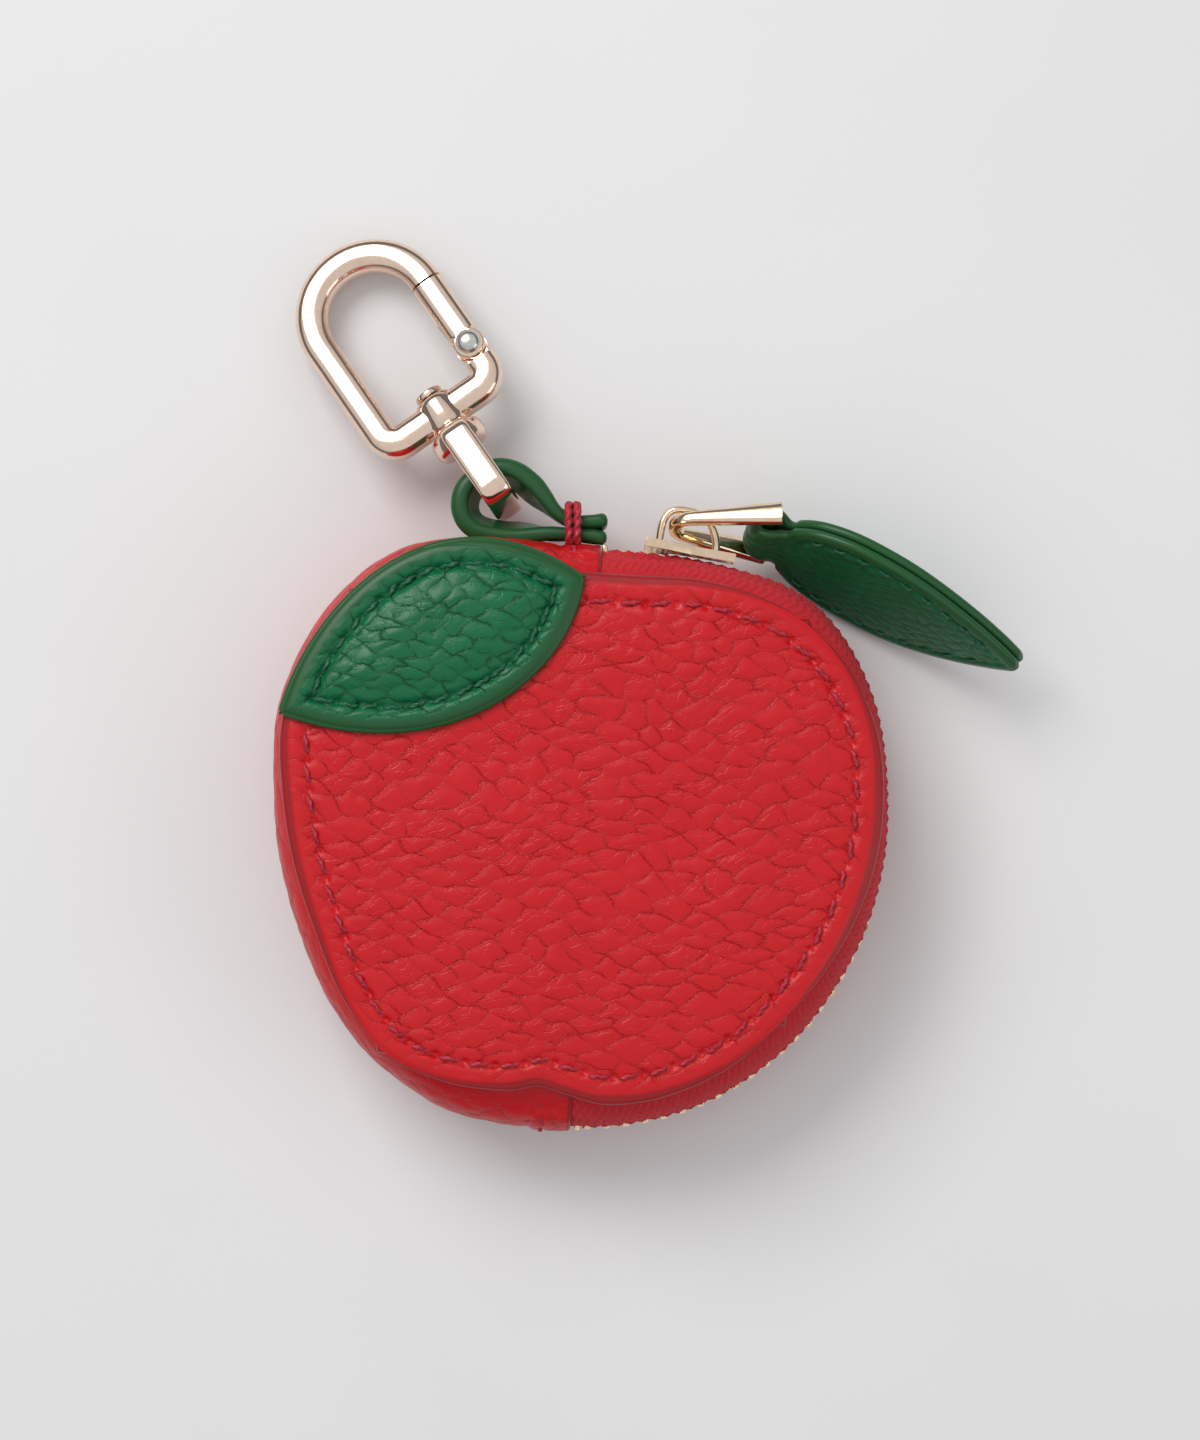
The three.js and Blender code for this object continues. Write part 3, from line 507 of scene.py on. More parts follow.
def disc_grid(count, radius_at):
    """A square grid pulled out to an outline. Returns x, y and the distance from the rim."""
    side = np.linspace(-1, 1, count)
    v, u = np.meshgrid(side, side)
    x, y = u * np.sqrt(1 - v * v / 2), v * np.sqrt(1 - u * u / 2)
    reach, angle = np.hypot(x, y), np.arctan2(y, x)
    rim = radius_at(angle)
    return rim * reach * np.cos(angle), rim * reach * np.sin(angle), rim * (1 - reach)


def panel_crown(x, y):
    """The filled purse swells its front a little, and the hide lies in slow waves."""
    inside = np.clip(1 - np.hypot(x, y) / rim_radius(np.arctan2(y, x)), 0, 1)
    swell = np.sqrt(np.clip(inside * 2.2, 0, 1))
    return 0.42 * swell + 0.5 * (drift(x, y, 13, 2) - 0.5) * swell


def apple_panel(name, count, z_middle, facing):
    """One panel, its face up for facing 1 and down for -1."""
    rounded = 0.6
    x, y, from_rim = disc_grid(count, lambda a: rim_radius(a) - rounded)
    if facing < 0:
        x, y, from_rim = x[::-1], y[::-1], from_rim[::-1]
    from_rim = from_rim + rounded
    relief = -pull_in(x, y, panel_holes, from_rim - STITCH_INSET)
    relief -= 0.30 * np.exp(-(((from_rim - rounded) / 0.55) ** 2))
    relief += panel_crown(x, y) if facing > 0 else 0
    fade = np.clip((from_rim - 0.9) / 2.0, 0.10, 1)
    middle = np.stack([x, y, np.full_like(x, z_middle)], 2)
    flat = np.stack([x + (0 if facing > 0 else 120), y], 2)
    made = hide(name, middle, PANEL, red_leather, flat, relief, grained=fade, paint=1.1)
    return run_tree(made, grain_tree, Depth=1.0, Leather=red_leather)


def bend_at_mouth(made):
    """Works a piece of the purse's front into its mesh where it lies, unbent."""
    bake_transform(made)


def held_by(made, body):
    """Moves a piece with a body, or, for the front, leaves it fixed where it lies."""
    if body == "front":
        bend_at_mouth(made)
    else:
        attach(made, body)


front_panel = apple_panel("front_panel", 218, DEPTH - PANEL / 2, 1)
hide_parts("front_panel_spine", "front_panel_flap")
bend_at_mouth(front_panel)

back_panel_leather = apple_panel("back_panel_leather", 150, PANEL / 2 + 0.15, -1)
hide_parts("back_panel")
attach(back_panel_leather, "purse")

# ---- Stitching ----------------------------------------------------------------------------------
# Waxed two-ply thread, sewn through punched holes. Each stitch lies on the leather from one hole to
# the next and dives into both.
THREAD = 0.33


def swept(line, section, up, radius=1.0, twist=0.0):
    """Points and faces of a section swept along a line and closed at both ends. up is its second axis,
    radius scales it, both ways or each, and twist turns it, by the distance gone."""
    line = np.asarray(line, float)
    along = np.gradient(line, axis=0)
    along /= np.linalg.norm(along, axis=1, keepdims=True)
    side = np.cross(np.broadcast_to(np.asarray(up, float), line.shape), along)
    side /= np.linalg.norm(side, axis=1, keepdims=True)
    top = np.cross(along, side)
    walked = np.concatenate([[0], np.cumsum(np.linalg.norm(np.diff(line, axis=0), axis=1))])
    radius = np.reshape(radius, (-1, 2) if np.ndim(radius) == 2 else (-1, 1))
    radius = np.broadcast_to(radius, (len(line), 2))
    rings = []
    for k in range(len(line)):
        c, s = math.cos(twist * walked[k]), math.sin(twist * walked[k])
        x, y = section[:, 0] * c - section[:, 1] * s, section[:, 0] * s + section[:, 1] * c
        rings.append(line[k] + radius[k, 0] * x[:, None] * side[k] + radius[k, 1] * y[:, None] * top[k])
    m = len(section)
    ring = np.arange(m)
    faces = [list(range(m))[::-1], list(range((len(line) - 1) * m, len(line) * m))]
    for k in range(len(line) - 1):
        a, b = k * m + ring, k * m + np.roll(ring, -1)
        faces += np.stack([a, b, b + m, a + m], 1).tolist()
    return np.concatenate(rings), faces


def round_section(radius, sides, lobes=0.0, flat=2.0):
    """A section round a circle: lobes makes it two-ply, and flat above 2 squares it off."""
    a = np.linspace(0, 2 * np.pi, sides, endpoint=False)
    c, s = np.cos(a), np.sin(a)
    r = radius * (1 + lobes * np.cos(2 * a)) / (np.abs(c) ** flat + np.abs(s) ** flat) ** (1 / flat)
    return np.stack([r * c, r * s], 1)


two_ply = round_section(THREAD, 8, lobes=0.27)


def thread_colour(name, colour, dark):
    """Glossy twisted thread."""
    material, tree, shader = node_material(name, Sheen_Weight=0.12, Sheen_Roughness=0.4)
    place = add_node(tree, "ShaderNodeTexCoord").outputs["Object"]
    fibres = noise(tree, place, 2600.0)
    tree.links.new(ramp(tree, fibres, [(0.3, dark), (0.62, colour)]), shader.inputs["Base Color"])
    tree.links.new(remap(tree, fibres, 0.3, 0.7, 0.62, 0.38), shader.inputs["Roughness"])
    bumped(tree, shader, fibres, 0.03, 0.8)
    return material


red_thread = thread_colour("red thread", (0.56, 0.018, 0.045), (0.30, 0.006, 0.016))
green_thread = thread_colour("green thread", (0.006, 0.135, 0.055), (0.003, 0.065, 0.026))

row_tree, given, result = new_tree(
    "row along a seam",
    ("Piece", "NodeSocketObject", None),
    ("Size", "NodeSocketFloat", 1.0),
    ("Slant", "NodeSocketFloat", 0.0),
    ("Finish", "NodeSocketMaterial", None),
)
align = "FunctionNodeAlignRotationToVector"
turned = add_node(row_tree, align, {"Vector": attribute(row_tree, "runs")}, axis="X").outputs[0]
inputs = {"Rotation": turned, "Vector": attribute(row_tree, "stands")}
turned = add_node(row_tree, align, inputs, axis="Z", pivot_axis="X").outputs[0]
lean = add_node(row_tree, "ShaderNodeCombineXYZ", {"Z": given["Slant"]}).outputs[0]
lean = add_node(row_tree, "FunctionNodeEulerToRotation", {"Euler": lean}).outputs[0]
inputs = {"Rotation": turned, "Rotate By": lean}
turned = add_node(row_tree, "FunctionNodeRotateRotation", inputs, rotation_space="LOCAL").outputs[0]
one = add_node(row_tree, "GeometryNodeObjectInfo", {"Object": given["Piece"]}).outputs["Geometry"]
inputs = {"Points": given["Geometry"], "Instance": one, "Rotation": turned, "Scale": given["Size"]}
many = add_node(row_tree, "GeometryNodeInstanceOnPoints", inputs).outputs[0]
real = add_node(row_tree, "GeometryNodeRealizeInstances", {"Geometry": many}).outputs[0]
dress(row_tree, real, given["Finish"], result)


def row_of(name, one, points, runs, stands, finish, size=1.0, slant=0.0):
    """Copies of one piece at points, its x the way the row runs and its z the way it stands."""
    made = make_mesh(name, points, [], finish)
    for key, way in (("runs", runs), ("stands", stands)):
        layer = made.data.attributes.new(key, "FLOAT_VECTOR", "POINT")
        way = np.array(np.broadcast_to(np.asarray(way, float), (len(points), 3)), dtype=np.float32)
        layer.data.foreach_set("vector", way.ravel())
    return run_tree(made, row_tree, Piece=one, Size=size, Slant=slant, Finish=finish)


def row_of_seams(name, one, seams, finish, size, slant):
    """One row from several seams of (points, ways they run, way they stand)."""
    points, runs, stands = (
        np.concatenate([np.broadcast_to(seam[k], seam[0].shape) for seam in seams]) for k in range(3)
    )
    return row_of(name, one, points, runs, stands, finish, size, slant)


SLANT = 0.13
reach = np.linspace(-1, 1, 11)
stitch_line = np.stack([1.50 * reach, 0 * reach, 0.22 - 0.80 * np.abs(reach) ** 3.4], 1)
stitch = swept(stitch_line, two_ply, (0, 0, 1), 1 - 0.35 * reach**4, 2.3)
one_stitch = make_mesh("one_stitch", *stitch, red_thread)


def panel_stitches(name, facing):
    """The row round a panel."""
    middles, way = spaced(stitch_path, STITCH_PITCH, 0.5, closed=True)
    x, y = middles.T
    z = DEPTH + panel_crown(x, y) - 0.2 if facing > 0 else np.full_like(x, 0.62)
    way = np.column_stack([way, 0 * x])
    points = np.column_stack([x, y, z])
    return row_of(name, one_stitch, points, way, (0, 0, facing), red_thread, slant=SLANT)


front_stitches = panel_stitches("front_stitches", 1)
bend_at_mouth(front_stitches)
back_stitches = panel_stitches("back_stitches", -1)
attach(back_stitches, "purse")

# ---- Lining -------------------------------------------------------------------------------------
# Plain-woven cotton, glued to the inner face of each panel and of the gusset before they are sewn.
LINING = 0.4


def woven(name, colour, dark, pitch, twill=0.0):
    """Cloth with its threads crossing at a pitch in mm, darker in its hollows as painted shade. twill slants
    the rib.
    """
    material, tree, shader = node_material(name, Roughness=0.80, Sheen_Weight=0.06, Sheen_Roughness=0.5)
    place = surface(tree, "flat", "Vector")
    x, y, _ = add_node(tree, "ShaderNodeSeparateXYZ", {"Vector": place}).outputs
    turn = 2 * math.pi / pitch

    def wave(*terms):
        return add_node(tree, "ShaderNodeMath", {0: sum_of(tree, *terms)}, operation="SINE").outputs[0]

    warp = wave((turn, x), (turn * twill, y))
    weft = wave((turn, y), (-turn * twill, x))
    slub = noise(tree, place, 1.6, 3.0)
    height = sum_of(tree, (0.5, product(tree, warp, weft)), (0.8, slub))
    # Painted shade: hollows between threads take the dark colour and raised threads the lighter one; the
    # slub noise adds random tone.
    shade = remap(tree, height, -0.2, 0.9, 0.0, 1.0)
    tree.links.new(ramp(tree, shade, [(0.0, dark), (0.7, colour)]), shader.inputs["Base Color"])
    bumped(tree, shader, height, 0.09, 0.8)
    return material


# The second colour of each cloth is painted shade for the hollows of its weave.
lining_cloth = woven("cotton lining", (0.27, 0.012, 0.018), (0.15, 0.006, 0.010), 0.42)


def panel_lining(name, z_middle):
    """The lining of one panel, and the area it is cut to in square metres."""
    x, y, _ = disc_grid(56, lambda a: rim_radius(a) - 3.6)
    middle = np.stack([x, y, np.full_like(x, z_middle)], 2)
    slack = 0.03 * (drift(x, y, 6) - 0.5)
    made = hide(name, middle, LINING, lining_cloth, np.stack([x, y], 2), slack, turns=3)
    a = np.linspace(0, 2 * np.pi, 721)[:-1]
    return made, np.sum((rim_radius(a) - 3.44) ** 2) * math.pi / 720 * MM * MM


front_lining, area = panel_lining("front_lining", DEPTH - PANEL - 1.9)
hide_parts("front_lining_spine", "front_lining_flap")
bend_at_mouth(front_lining)
back_lining_cloth, area = panel_lining("back_lining_cloth", PANEL + 1.9)
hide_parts("back_lining")
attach(back_lining_cloth, "purse")

# ---- Gusset -------------------------------------------------------------------------------------
# The left side is a band of the same leather, its long edges turned in under both panels and caught by
# their stitching. Its ends are folded back and sewn down where the zip starts and stops.
BAND_HALF = 9.35
MIDDLE = DEPTH / 2
GUSSET = 1.1
GUSSET_ENDS = (89.4, 264.3)
HEM = 5.0
HEM_SEAM = 3.4
MM_PER_DEGREE = 0.7
BAND_APEX = [
    (90, 38.0), (80, 38.1), (70, 38.9), (60, 40.3), (52, 41.8), (44, 42.5), (34, 42.1), (22, 41.0),
    (8, 39.5), (-6, 38.8), (-22, 38.4), (-40, 38.3), (-55, 38.6), (-70, 39.0), (-84, 39.2), (-96, 39.6),
    (-108, 41.0), (-120, 42.0), (-134, 42.4), (-147, 42.0), (-160, 41.7), (-174, 42.2), (-188, 43.3),
    (-202, 45.6), (-214, 46.6), (-226, 46.8), (-236, 46.0), (-246, 43.2), (-256, 40.4), (-264, 38.6),
]
apex_radius = through(BAND_APEX)


def band_at(degrees, height):
    """A point on the middle of the band round the purse, and the way it faces, at a height from its
    middle line."""
    a = np.radians(degrees)
    apex, seam = apex_radius(a), rim_radius(a) - 1
    r = apex - (apex - seam) * np.abs(height / BAND_HALF) ** 4
    x, y = r * np.cos(a), r * np.sin(a)
    facing = np.stack(np.broadcast_arrays(np.cos(a), np.sin(a), 0 * height), -1)
    return np.stack(np.broadcast_arrays(x, y, MIDDLE + height), -1), facing


def band_grid(degrees, low, high, columns, flange=5.0):
    """A grid of points down the middle of the band, with its flanges turned in where it reaches a
    panel, and the same grid laid flat."""
    rows = len(degrees)
    d = np.asarray(degrees, float)[:, None]
    t = 0.5 - 0.5 * np.cos(np.linspace(0, np.pi, columns))[None]
    low_h, high_h = (np.broadcast_to(np.asarray(v, float).reshape(-1, 1), (rows, 1)) for v in (low, high))
    points, _ = band_at(d, low_h + (high_h - low_h) * t)
    inward = flange * np.linspace(1, 0.08, 6)
    radial = np.stack([np.cos(np.radians(d)), np.sin(np.radians(d)), 0 * d], -1)
    if np.ndim(low) == 0 and low == -BAND_HALF:
        points = np.concatenate([points[:, :1] - radial * inward[None, :, None], points], 1)
    if np.ndim(high) == 0 and high == BAND_HALF:
        points = np.concatenate([points, points[:, -1:] - radial * inward[None, ::-1, None]], 1)
    across = np.cumsum(np.linalg.norm(np.diff(points, axis=1, prepend=points[:, :1]), axis=2), axis=1)
    return points, np.stack(np.broadcast_arrays(np.radians(d) * 40, across), -1)


degrees = np.linspace(GUSSET_ENDS[0] - 0.2, GUSSET_ENDS[1] + 0.3, 300)
middle, flat = band_grid(degrees, -BAND_HALF, BAND_HALF, 50)
to_end = np.minimum(degrees - GUSSET_ENDS[0], GUSSET_ENDS[1] - degrees)[:, None] * MM_PER_DEGREE
off_middle = middle[..., 2] - MIDDLE
on_side = np.clip((BAND_HALF - np.abs(off_middle)) / 2.5, 0, 1)
hem = np.clip((HEM - to_end) / 0.8, 0, 1) * np.clip((7.6 - np.abs(off_middle)) / 0.8, 0, 1)
sewn = 0.25 * np.exp(-(((to_end - HEM_SEAM) / 0.5) ** 2))
sewn += 0.16 * np.exp(-(((to_end - HEM - 0.4) / 0.6) ** 2))
ruck = 0.28 * (drift(flat[..., 0], flat[..., 1], 7, 1) - 0.5) * on_side
flat[..., 1] += 200
face = ruck + 0.45 * hem - sewn * on_side
gusset = hide("gusset", middle, GUSSET, red_leather, flat, face, 0.5 * hem, on_side, paint=0.0)
gusset = run_tree(gusset, grain_tree, Depth=0.8, Leather=red_leather)
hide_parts("side_gusset")
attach(gusset, "purse")

seams = []
for end, inwards in zip(GUSSET_ENDS, (1, -1)):
    line, facing = band_at(np.full(60, end + inwards * HEM_SEAM / MM_PER_DEGREE), np.linspace(-7.4, 7.4, 60))
    line += facing * (GUSSET / 2 + 0.25)
    seams.append((*spaced(line, 2.9, 0.5), facing[0]))
gusset_stitches = row_of_seams("gusset_stitches", one_stitch, seams, red_thread, 0.8, SLANT)
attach(gusset_stitches, "purse")

degrees = np.linspace(98.6, 255.4, 90)
middle, flat = band_grid(degrees, -7.2, 7.2, 14)
middle -= band_at(degrees, 0 * degrees)[1][:, None] * (GUSSET / 2 + 0.45)
gusset_lining_cloth = hide("gusset_lining_cloth", middle, LINING, lining_cloth, flat, turns=3)
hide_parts("gusset_lining")
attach(gusset_lining_cloth, "purse")
wide = np.linalg.norm(np.diff(middle, axis=1), axis=2).sum(1).mean() + 0.3

# ---- Zip tapes ----------------------------------------------------------------------------------
# Two tapes of woven red polyester, sewn under the panels' edges. Each one's inner edge is a thick cord
# that the teeth grip. Above the slider they spread apart.
ZIP_ENDS = (88.7, -95.0)
TAPE = 0.5
CORD_OFF = 2.6


def smooth_between(x, a, b):
    t = np.clip((x - a) / (b - a), 0, 1)
    return t * t * (3 - 2 * t)


def spread(degrees):
    """How far each row of teeth stands off the middle line at an angle."""
    return 2.1 * smooth_between(degrees, 69.5, 77.8) * (1 - 0.35 * smooth_between(degrees, 81.3, 88.7))


# The second colour is painted shade for the hollows of the weave.
red_tape = woven("red zip tape", (0.68, 0.010, 0.024), (0.44, 0.006, 0.013), 0.40, twill=0.3)
tape_degrees = np.linspace(ZIP_ENDS[1], ZIP_ENDS[0], 640)
bead_degrees = np.linspace(ZIP_ENDS[1] + 2.5, ZIP_ENDS[0] - 1.5, 330)
inner_edge = CORD_OFF + 0.2 + np.maximum(spread(tape_degrees - 0.9), spread(tape_degrees + 0.9))
for side, name, body in ((-1, "back", "purse"), (1, "front", "front")):
    low, high = (-BAND_HALF, -inner_edge) if side < 0 else (inner_edge, BAND_HALF)
    middle, flat = band_grid(tape_degrees, low, high, 24)
    rib = np.sin(flat[..., 0] * (2 * np.pi / 1.15) + 1.5 * np.abs((flat[..., 1] % 2.6) - 1.3) * 2.4)
    rib = 0.15 * rib * smooth_between(BAND_HALF - np.abs(middle[..., 2] - MIDDLE), 0.1, 1.0)
    tape = hide(f"tape_{name}", middle, TAPE, red_tape, flat, rib, turns=4)
    line, _ = band_at(bead_degrees, side * (CORD_OFF - 0.35 + spread(bead_degrees)))
    bead = swept(line, round_section(0.62, 8, 0.2), (0, 0, 1), 1.0, 1.9)
    bead = make_mesh(f"tape_cord_{name}", *bead, red_tape)
    face_outwards(bead)
    layer = bead.data.attributes.new("flat", "FLOAT_VECTOR", "POINT")
    places = np.array([v.co / MM for v in bead.data.vertices], dtype=np.float32)
    layer.data.foreach_set("vector", places.ravel())
    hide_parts(f"zip_tape_{name}")
    wide = np.linalg.norm(np.diff(middle, axis=1), axis=2).sum(1) + 0.4
    for piece in (tape, bead):
        held_by(piece, body)

# ---- Zip teeth ----------------------------------------------------------------------------------
# Small cast teeth in pale gold, clamped on the tapes' cords at an even pitch, the two rows half a pitch
# apart. Stops close the ends.
TOOTH_PITCH = 2.6


def metal(name, colour, dark, roughness):
    """Polished plated metal with faint wear and a soft ripple."""
    material, tree, shader = node_material(name, Metallic=1.0)
    place = add_node(tree, "ShaderNodeTexCoord").outputs["Object"]
    inputs = {"Vector": place, "Scale": 420.0, "Detail": 5.0, "Roughness": 0.65}
    wear = add_node(tree, "ShaderNodeTexNoise", inputs).outputs["Fac"]
    tree.links.new(ramp(tree, wear, [(0.28, dark), (0.55, colour)]), shader.inputs["Base Color"])
    polish = remap(tree, wear, 0.3, 0.7, roughness * 1.6, roughness * 0.8)
    tree.links.new(polish, shader.inputs["Roughness"])
    bumped(tree, shader, noise(tree, place, 150.0), 0.05, 0.5)
    return material


rose_gold = metal("rose gold plate", (0.92, 0.71, 0.58), (0.84, 0.62, 0.49), 0.11)
pale_gold = metal("pale gold plate", (0.92, 0.72, 0.52), (0.80, 0.60, 0.41), 0.13)
bright_steel = metal("bright steel", (0.72, 0.71, 0.69), (0.55, 0.54, 0.52), 0.18)

tooth_outline = np.array([
    (-0.75, -2.4), (0.75, -2.4), (0.85, -1.3), (0.7, 0.35),
    (0.4, 0.9), (-0.4, 0.9), (-0.7, 0.35), (-0.85, -1.3),
])
tooth_line = np.array([(-0.55, 0, 0), (-0.42, 0, 0), (0.42, 0, 0), (0.55, 0, 0)])
tooth = swept(tooth_line, tooth_outline, (0, 0, 1), np.array([0.82, 1, 1, 0.82]))
one_tooth = make_mesh("one_tooth", *tooth, pale_gold)
face_outwards(one_tooth)
one_tooth.data.polygons.foreach_set("use_smooth", [False] * len(one_tooth.data.polygons))

path_degrees = np.linspace(86.2, -91.5, 3000)
path, _ = band_at(path_degrees, np.zeros(3000))
half_pitches, ways = spaced(path, TOOTH_PITCH / 2)
at_degrees = np.degrees(np.arctan2(half_pitches[:, 1], half_pitches[:, 0]))
for first, side, name, body in ((0, -1, "back", "purse"), (1, 1, "front", "front")):
    points, way, at = half_pitches[first::2], ways[first::2], at_degrees[first::2]
    inwards = -points * np.array([1, 1, 0]) / np.linalg.norm(points[:, :2], axis=1, keepdims=True)
    bite = 0.45 * smooth_between(at, -35, -5) - 0.1
    points = points + np.array([0, 0, side]) * spread(at)[:, None] + bite[:, None] * inwards
    teeth = row_of(f"teeth_{name}", one_tooth, points, way, (0, 0, -side), pale_gold)
    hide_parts(f"zip_teeth_{name}")
    held_by(teeth, body)


def softened(name, node, width, finish, body, segments=3, sharp=30):
    """A cast or stamped part of the CAD frame with its edges rounded over."""
    mesh = bpy.data.objects[node].data.copy()
    mesh.name = name
    work = bmesh.new()
    work.from_mesh(mesh)
    bmesh.ops.remove_doubles(work, verts=work.verts, dist=1e-6)
    bmesh.ops.dissolve_limit(work, angle_limit=math.radians(1), verts=work.verts, edges=work.edges)
    work.to_mesh(mesh)
    work.free()
    mesh.materials.clear()
    mesh.materials.append(finish)
    made = bpy.data.objects.new(name, mesh)
    scene.collection.objects.link(made)
    bevel = made.modifiers.new("rounded edges", "BEVEL")
    bevel.width = width * MM
    bevel.segments = segments
    bevel.limit_method = "ANGLE"
    bevel.angle_limit = math.radians(sharp)
    bevel.use_clamp_overlap = True
    as_plain_mesh(made)
    mesh = made.data
    mesh.polygons.foreach_set("use_smooth", [True] * len(mesh.polygons))
    mesh.set_sharp_from_angle(angle=math.radians(50))
    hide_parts(node)
    held_by(made, body)


stops = (("zip_top_stop_back", "purse"), ("zip_bottom_stop", "purse"), ("zip_top_stop_front", "front"))
for node, body in stops:
    softened(node.replace("zip_", "clamped_"), node, 0.18, pale_gold, body)

# ---- Leaf on the front --------------------------------------------------------------------------
# A pad of pebbled green leather over a thin foam, its edges painted dark, sewn down with a row of green
# stitches that pulls the pad in all round.
LEAF_TIP, LEAF_STALK = (-41.8, 16.3), (-1.6, 34.4)
UPPER_PULL = ((-37.5, 31.5), (-21, 48))
LOWER_PULL = ((-21, 8.5), (-3.5, 19.5))
LEAF = 1.3
LEAF_MIDDLE = np.array([-21.3, 26.6])
LEAF_STITCH_INSET = 3.3
LEAF_STITCH_PITCH = 3.7


def bezier(a, b, c, d, count):
    t = np.linspace(0, 1, count)[:, None]
    a, b, c, d = (np.array(p, float) for p in (a, b, c, d))
    return a * (1 - t) ** 3 + 3 * b * t * (1 - t) ** 2 + 3 * c * t * t * (1 - t) + d * t**3


def distance_to(line, x, y):
    """Distance of each point of a grid from a dense line."""
    near = np.full(x.shape, 1e9)
    for px, py in line:
        near = np.minimum(near, (x - px) ** 2 + (y - py) ** 2)
    return np.sqrt(near)


def leaf_seat(x, y):
    """Height of the pad's underside, which bridges the panel's waves."""
    return DEPTH + panel_crown(x, y) * 0.6 + 0.15


upper = bezier(LEAF_TIP, *UPPER_PULL, LEAF_STALK, 400)
lower = bezier(LEAF_TIP, *LOWER_PULL, LEAF_STALK, 400)
leaf_outline = np.concatenate([upper, lower[::-1]])
along = np.clip((0.5 - 0.5 * np.cos(np.linspace(0.14, np.pi - 0.14, 190))) * 399, 0, 399)
edge_up, edge_low = (
    np.stack([np.interp(along, np.arange(400), line[:, k]) for k in (0, 1)], 1) for line in (upper, lower)
)
s = (0.5 - 0.5 * np.cos(np.linspace(0.10, np.pi - 0.10, 120)))[None, :, None]
s = (s - s.min()) / (s.max() - s.min()) * 0.975 + 0.0125
leaf_plan = edge_low[:, None] * (1 - s) + edge_up[:, None] * s
x, y = leaf_plan[..., 0], leaf_plan[..., 1]
from_rim = distance_to(leaf_outline, x, y)
seam_radius = radius_round(leaf_plan[np.abs(from_rim - LEAF_STITCH_INSET) < 0.12], LEAF_MIDDLE)
around = np.linspace(-np.pi, np.pi, 1200)
leaf_seam = LEAF_MIDDLE + seam_radius(around)[:, None] * np.stack([np.cos(around), np.sin(around)], 1)
leaf_holes, _ = spaced(leaf_seam, LEAF_STITCH_PITCH, closed=True)
puff = 1.1 * smooth_between(from_rim, LEAF_STITCH_INSET + 0.3, LEAF_STITCH_INSET + 5.0)
puff += 0.25 * smooth_between(from_rim, 0.1, 1.6)
puff -= 0.55 * np.exp(-(((from_rim - LEAF_STITCH_INSET) / 0.75) ** 2))
puff -= 0.30 * np.exp(-((from_rim / 0.5) ** 2))
puff -= 0.4 * np.exp(-(distance_to(leaf_holes, x, y) ** 2) / 0.25)
puff += 0.22 * (drift(x, y, 6, 3) - 0.5) * smooth_between(from_rim, 1, 3)
middle = np.stack([x, y, leaf_seat(x, y) + LEAF / 2], 2)
flat = np.stack([x * 1.25 + 300, y * 1.15], 2)
soft = smooth_between(from_rim, 1.2, 2.2)
leaf_pad = hide("leaf_pad", middle, LEAF, green_leather, flat, puff, 0.0, soft, paint=3.0, from_rim=from_rim)
leaf_pad = run_tree(leaf_pad, grain_tree, Depth=1.0, Leather=green_leather)
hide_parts("leaf_applique")
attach(leaf_pad, "purse")

at, way = spaced(leaf_seam, LEAF_STITCH_PITCH, 0.5, closed=True)
z = leaf_seat(*at.T) + LEAF - 0.28
points, way = np.column_stack([at, z]), np.column_stack([way, 0 * z])
leaf_stitches = row_of("leaf_stitches", one_stitch, points, way, (0, 0, 1), green_thread, 0.95, SLANT)
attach(leaf_stitches, "purse")

# ---- Strap loop ---------------------------------------------------------------------------------
# A short strap of green leather with painted edges is folded into a loop round the clasp's eye. Thread
# wound round its neck ties both tails to the top of the purse.
STRAP = 1.8
STRAP_HALF = 2.8
NECK_X = -3.0
STRAP_LINE = [
    (1.0, 42.2), (-3.7, 42.6), (-7.4, 45.4), (-10.8, 48.2), (-13.8, 48.6), (-16.8, 46.6), (-17.4, 44.0),
    (-16.1, 42.0), (-13.0, 41.1), (-8.9, 40.9), (-3.7, 40.5), (0.9, 40.2),
]


def through_points(points, per_span=14):
    """A smooth line through points."""
    pts = np.array(points, float)
    pts = np.concatenate([2 * pts[:1] - pts[1:2], pts, 2 * pts[-1:] - pts[-2:-1]])
    t = np.linspace(0, 1, per_span, endpoint=False)[:, None]
    runs = [curve_span(*span, t) for span in zip(pts, pts[1:], pts[2:], pts[3:])]
    return np.concatenate(runs + [pts[-2:-1]])


line, way = spaced(through_points(STRAP_LINE), 0.22)
way /= np.linalg.norm(way, axis=1, keepdims=True)
outward = np.stack([way[:, 1], -way[:, 0]], 1)
outward *= np.sign(np.sum(outward * np.array([0, 1]), 1)[len(line) // 8])
across = np.linspace(-STRAP_HALF, STRAP_HALF, 26)
loose = smooth_between(np.linalg.norm(line - np.array([NECK_X, 41.5]), axis=1), 2.5, 8.0)[:, None]
lean = 0.24 * loose * across
plan = line[:, None] + outward[:, None] * lean[..., None]
middle = np.dstack([plan, np.broadcast_to(MIDDLE + across, lean.shape)])
flat = np.stack(np.broadcast_arrays(np.arange(len(line))[:, None] * 0.3 + 400, across[None] * 1.3), 2)
from_edge = np.broadcast_to(STRAP_HALF - np.abs(across), lean.shape)
nipped = 0.25 * np.exp(-(((line[:, 0] - NECK_X) / 1.4) ** 2))[:, None]
grained = 0.9 * smooth_between(from_edge, 0.5, 1.4)
strap = hide("strap", middle, STRAP, green_leather, flat, 0.60 * loose - nipped, 0.0, grained, paint=1.1)
strap = run_tree(strap, grain_tree, Depth=0.6, Leather=green_leather)
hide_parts("strap_loop")
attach(strap, "purse")

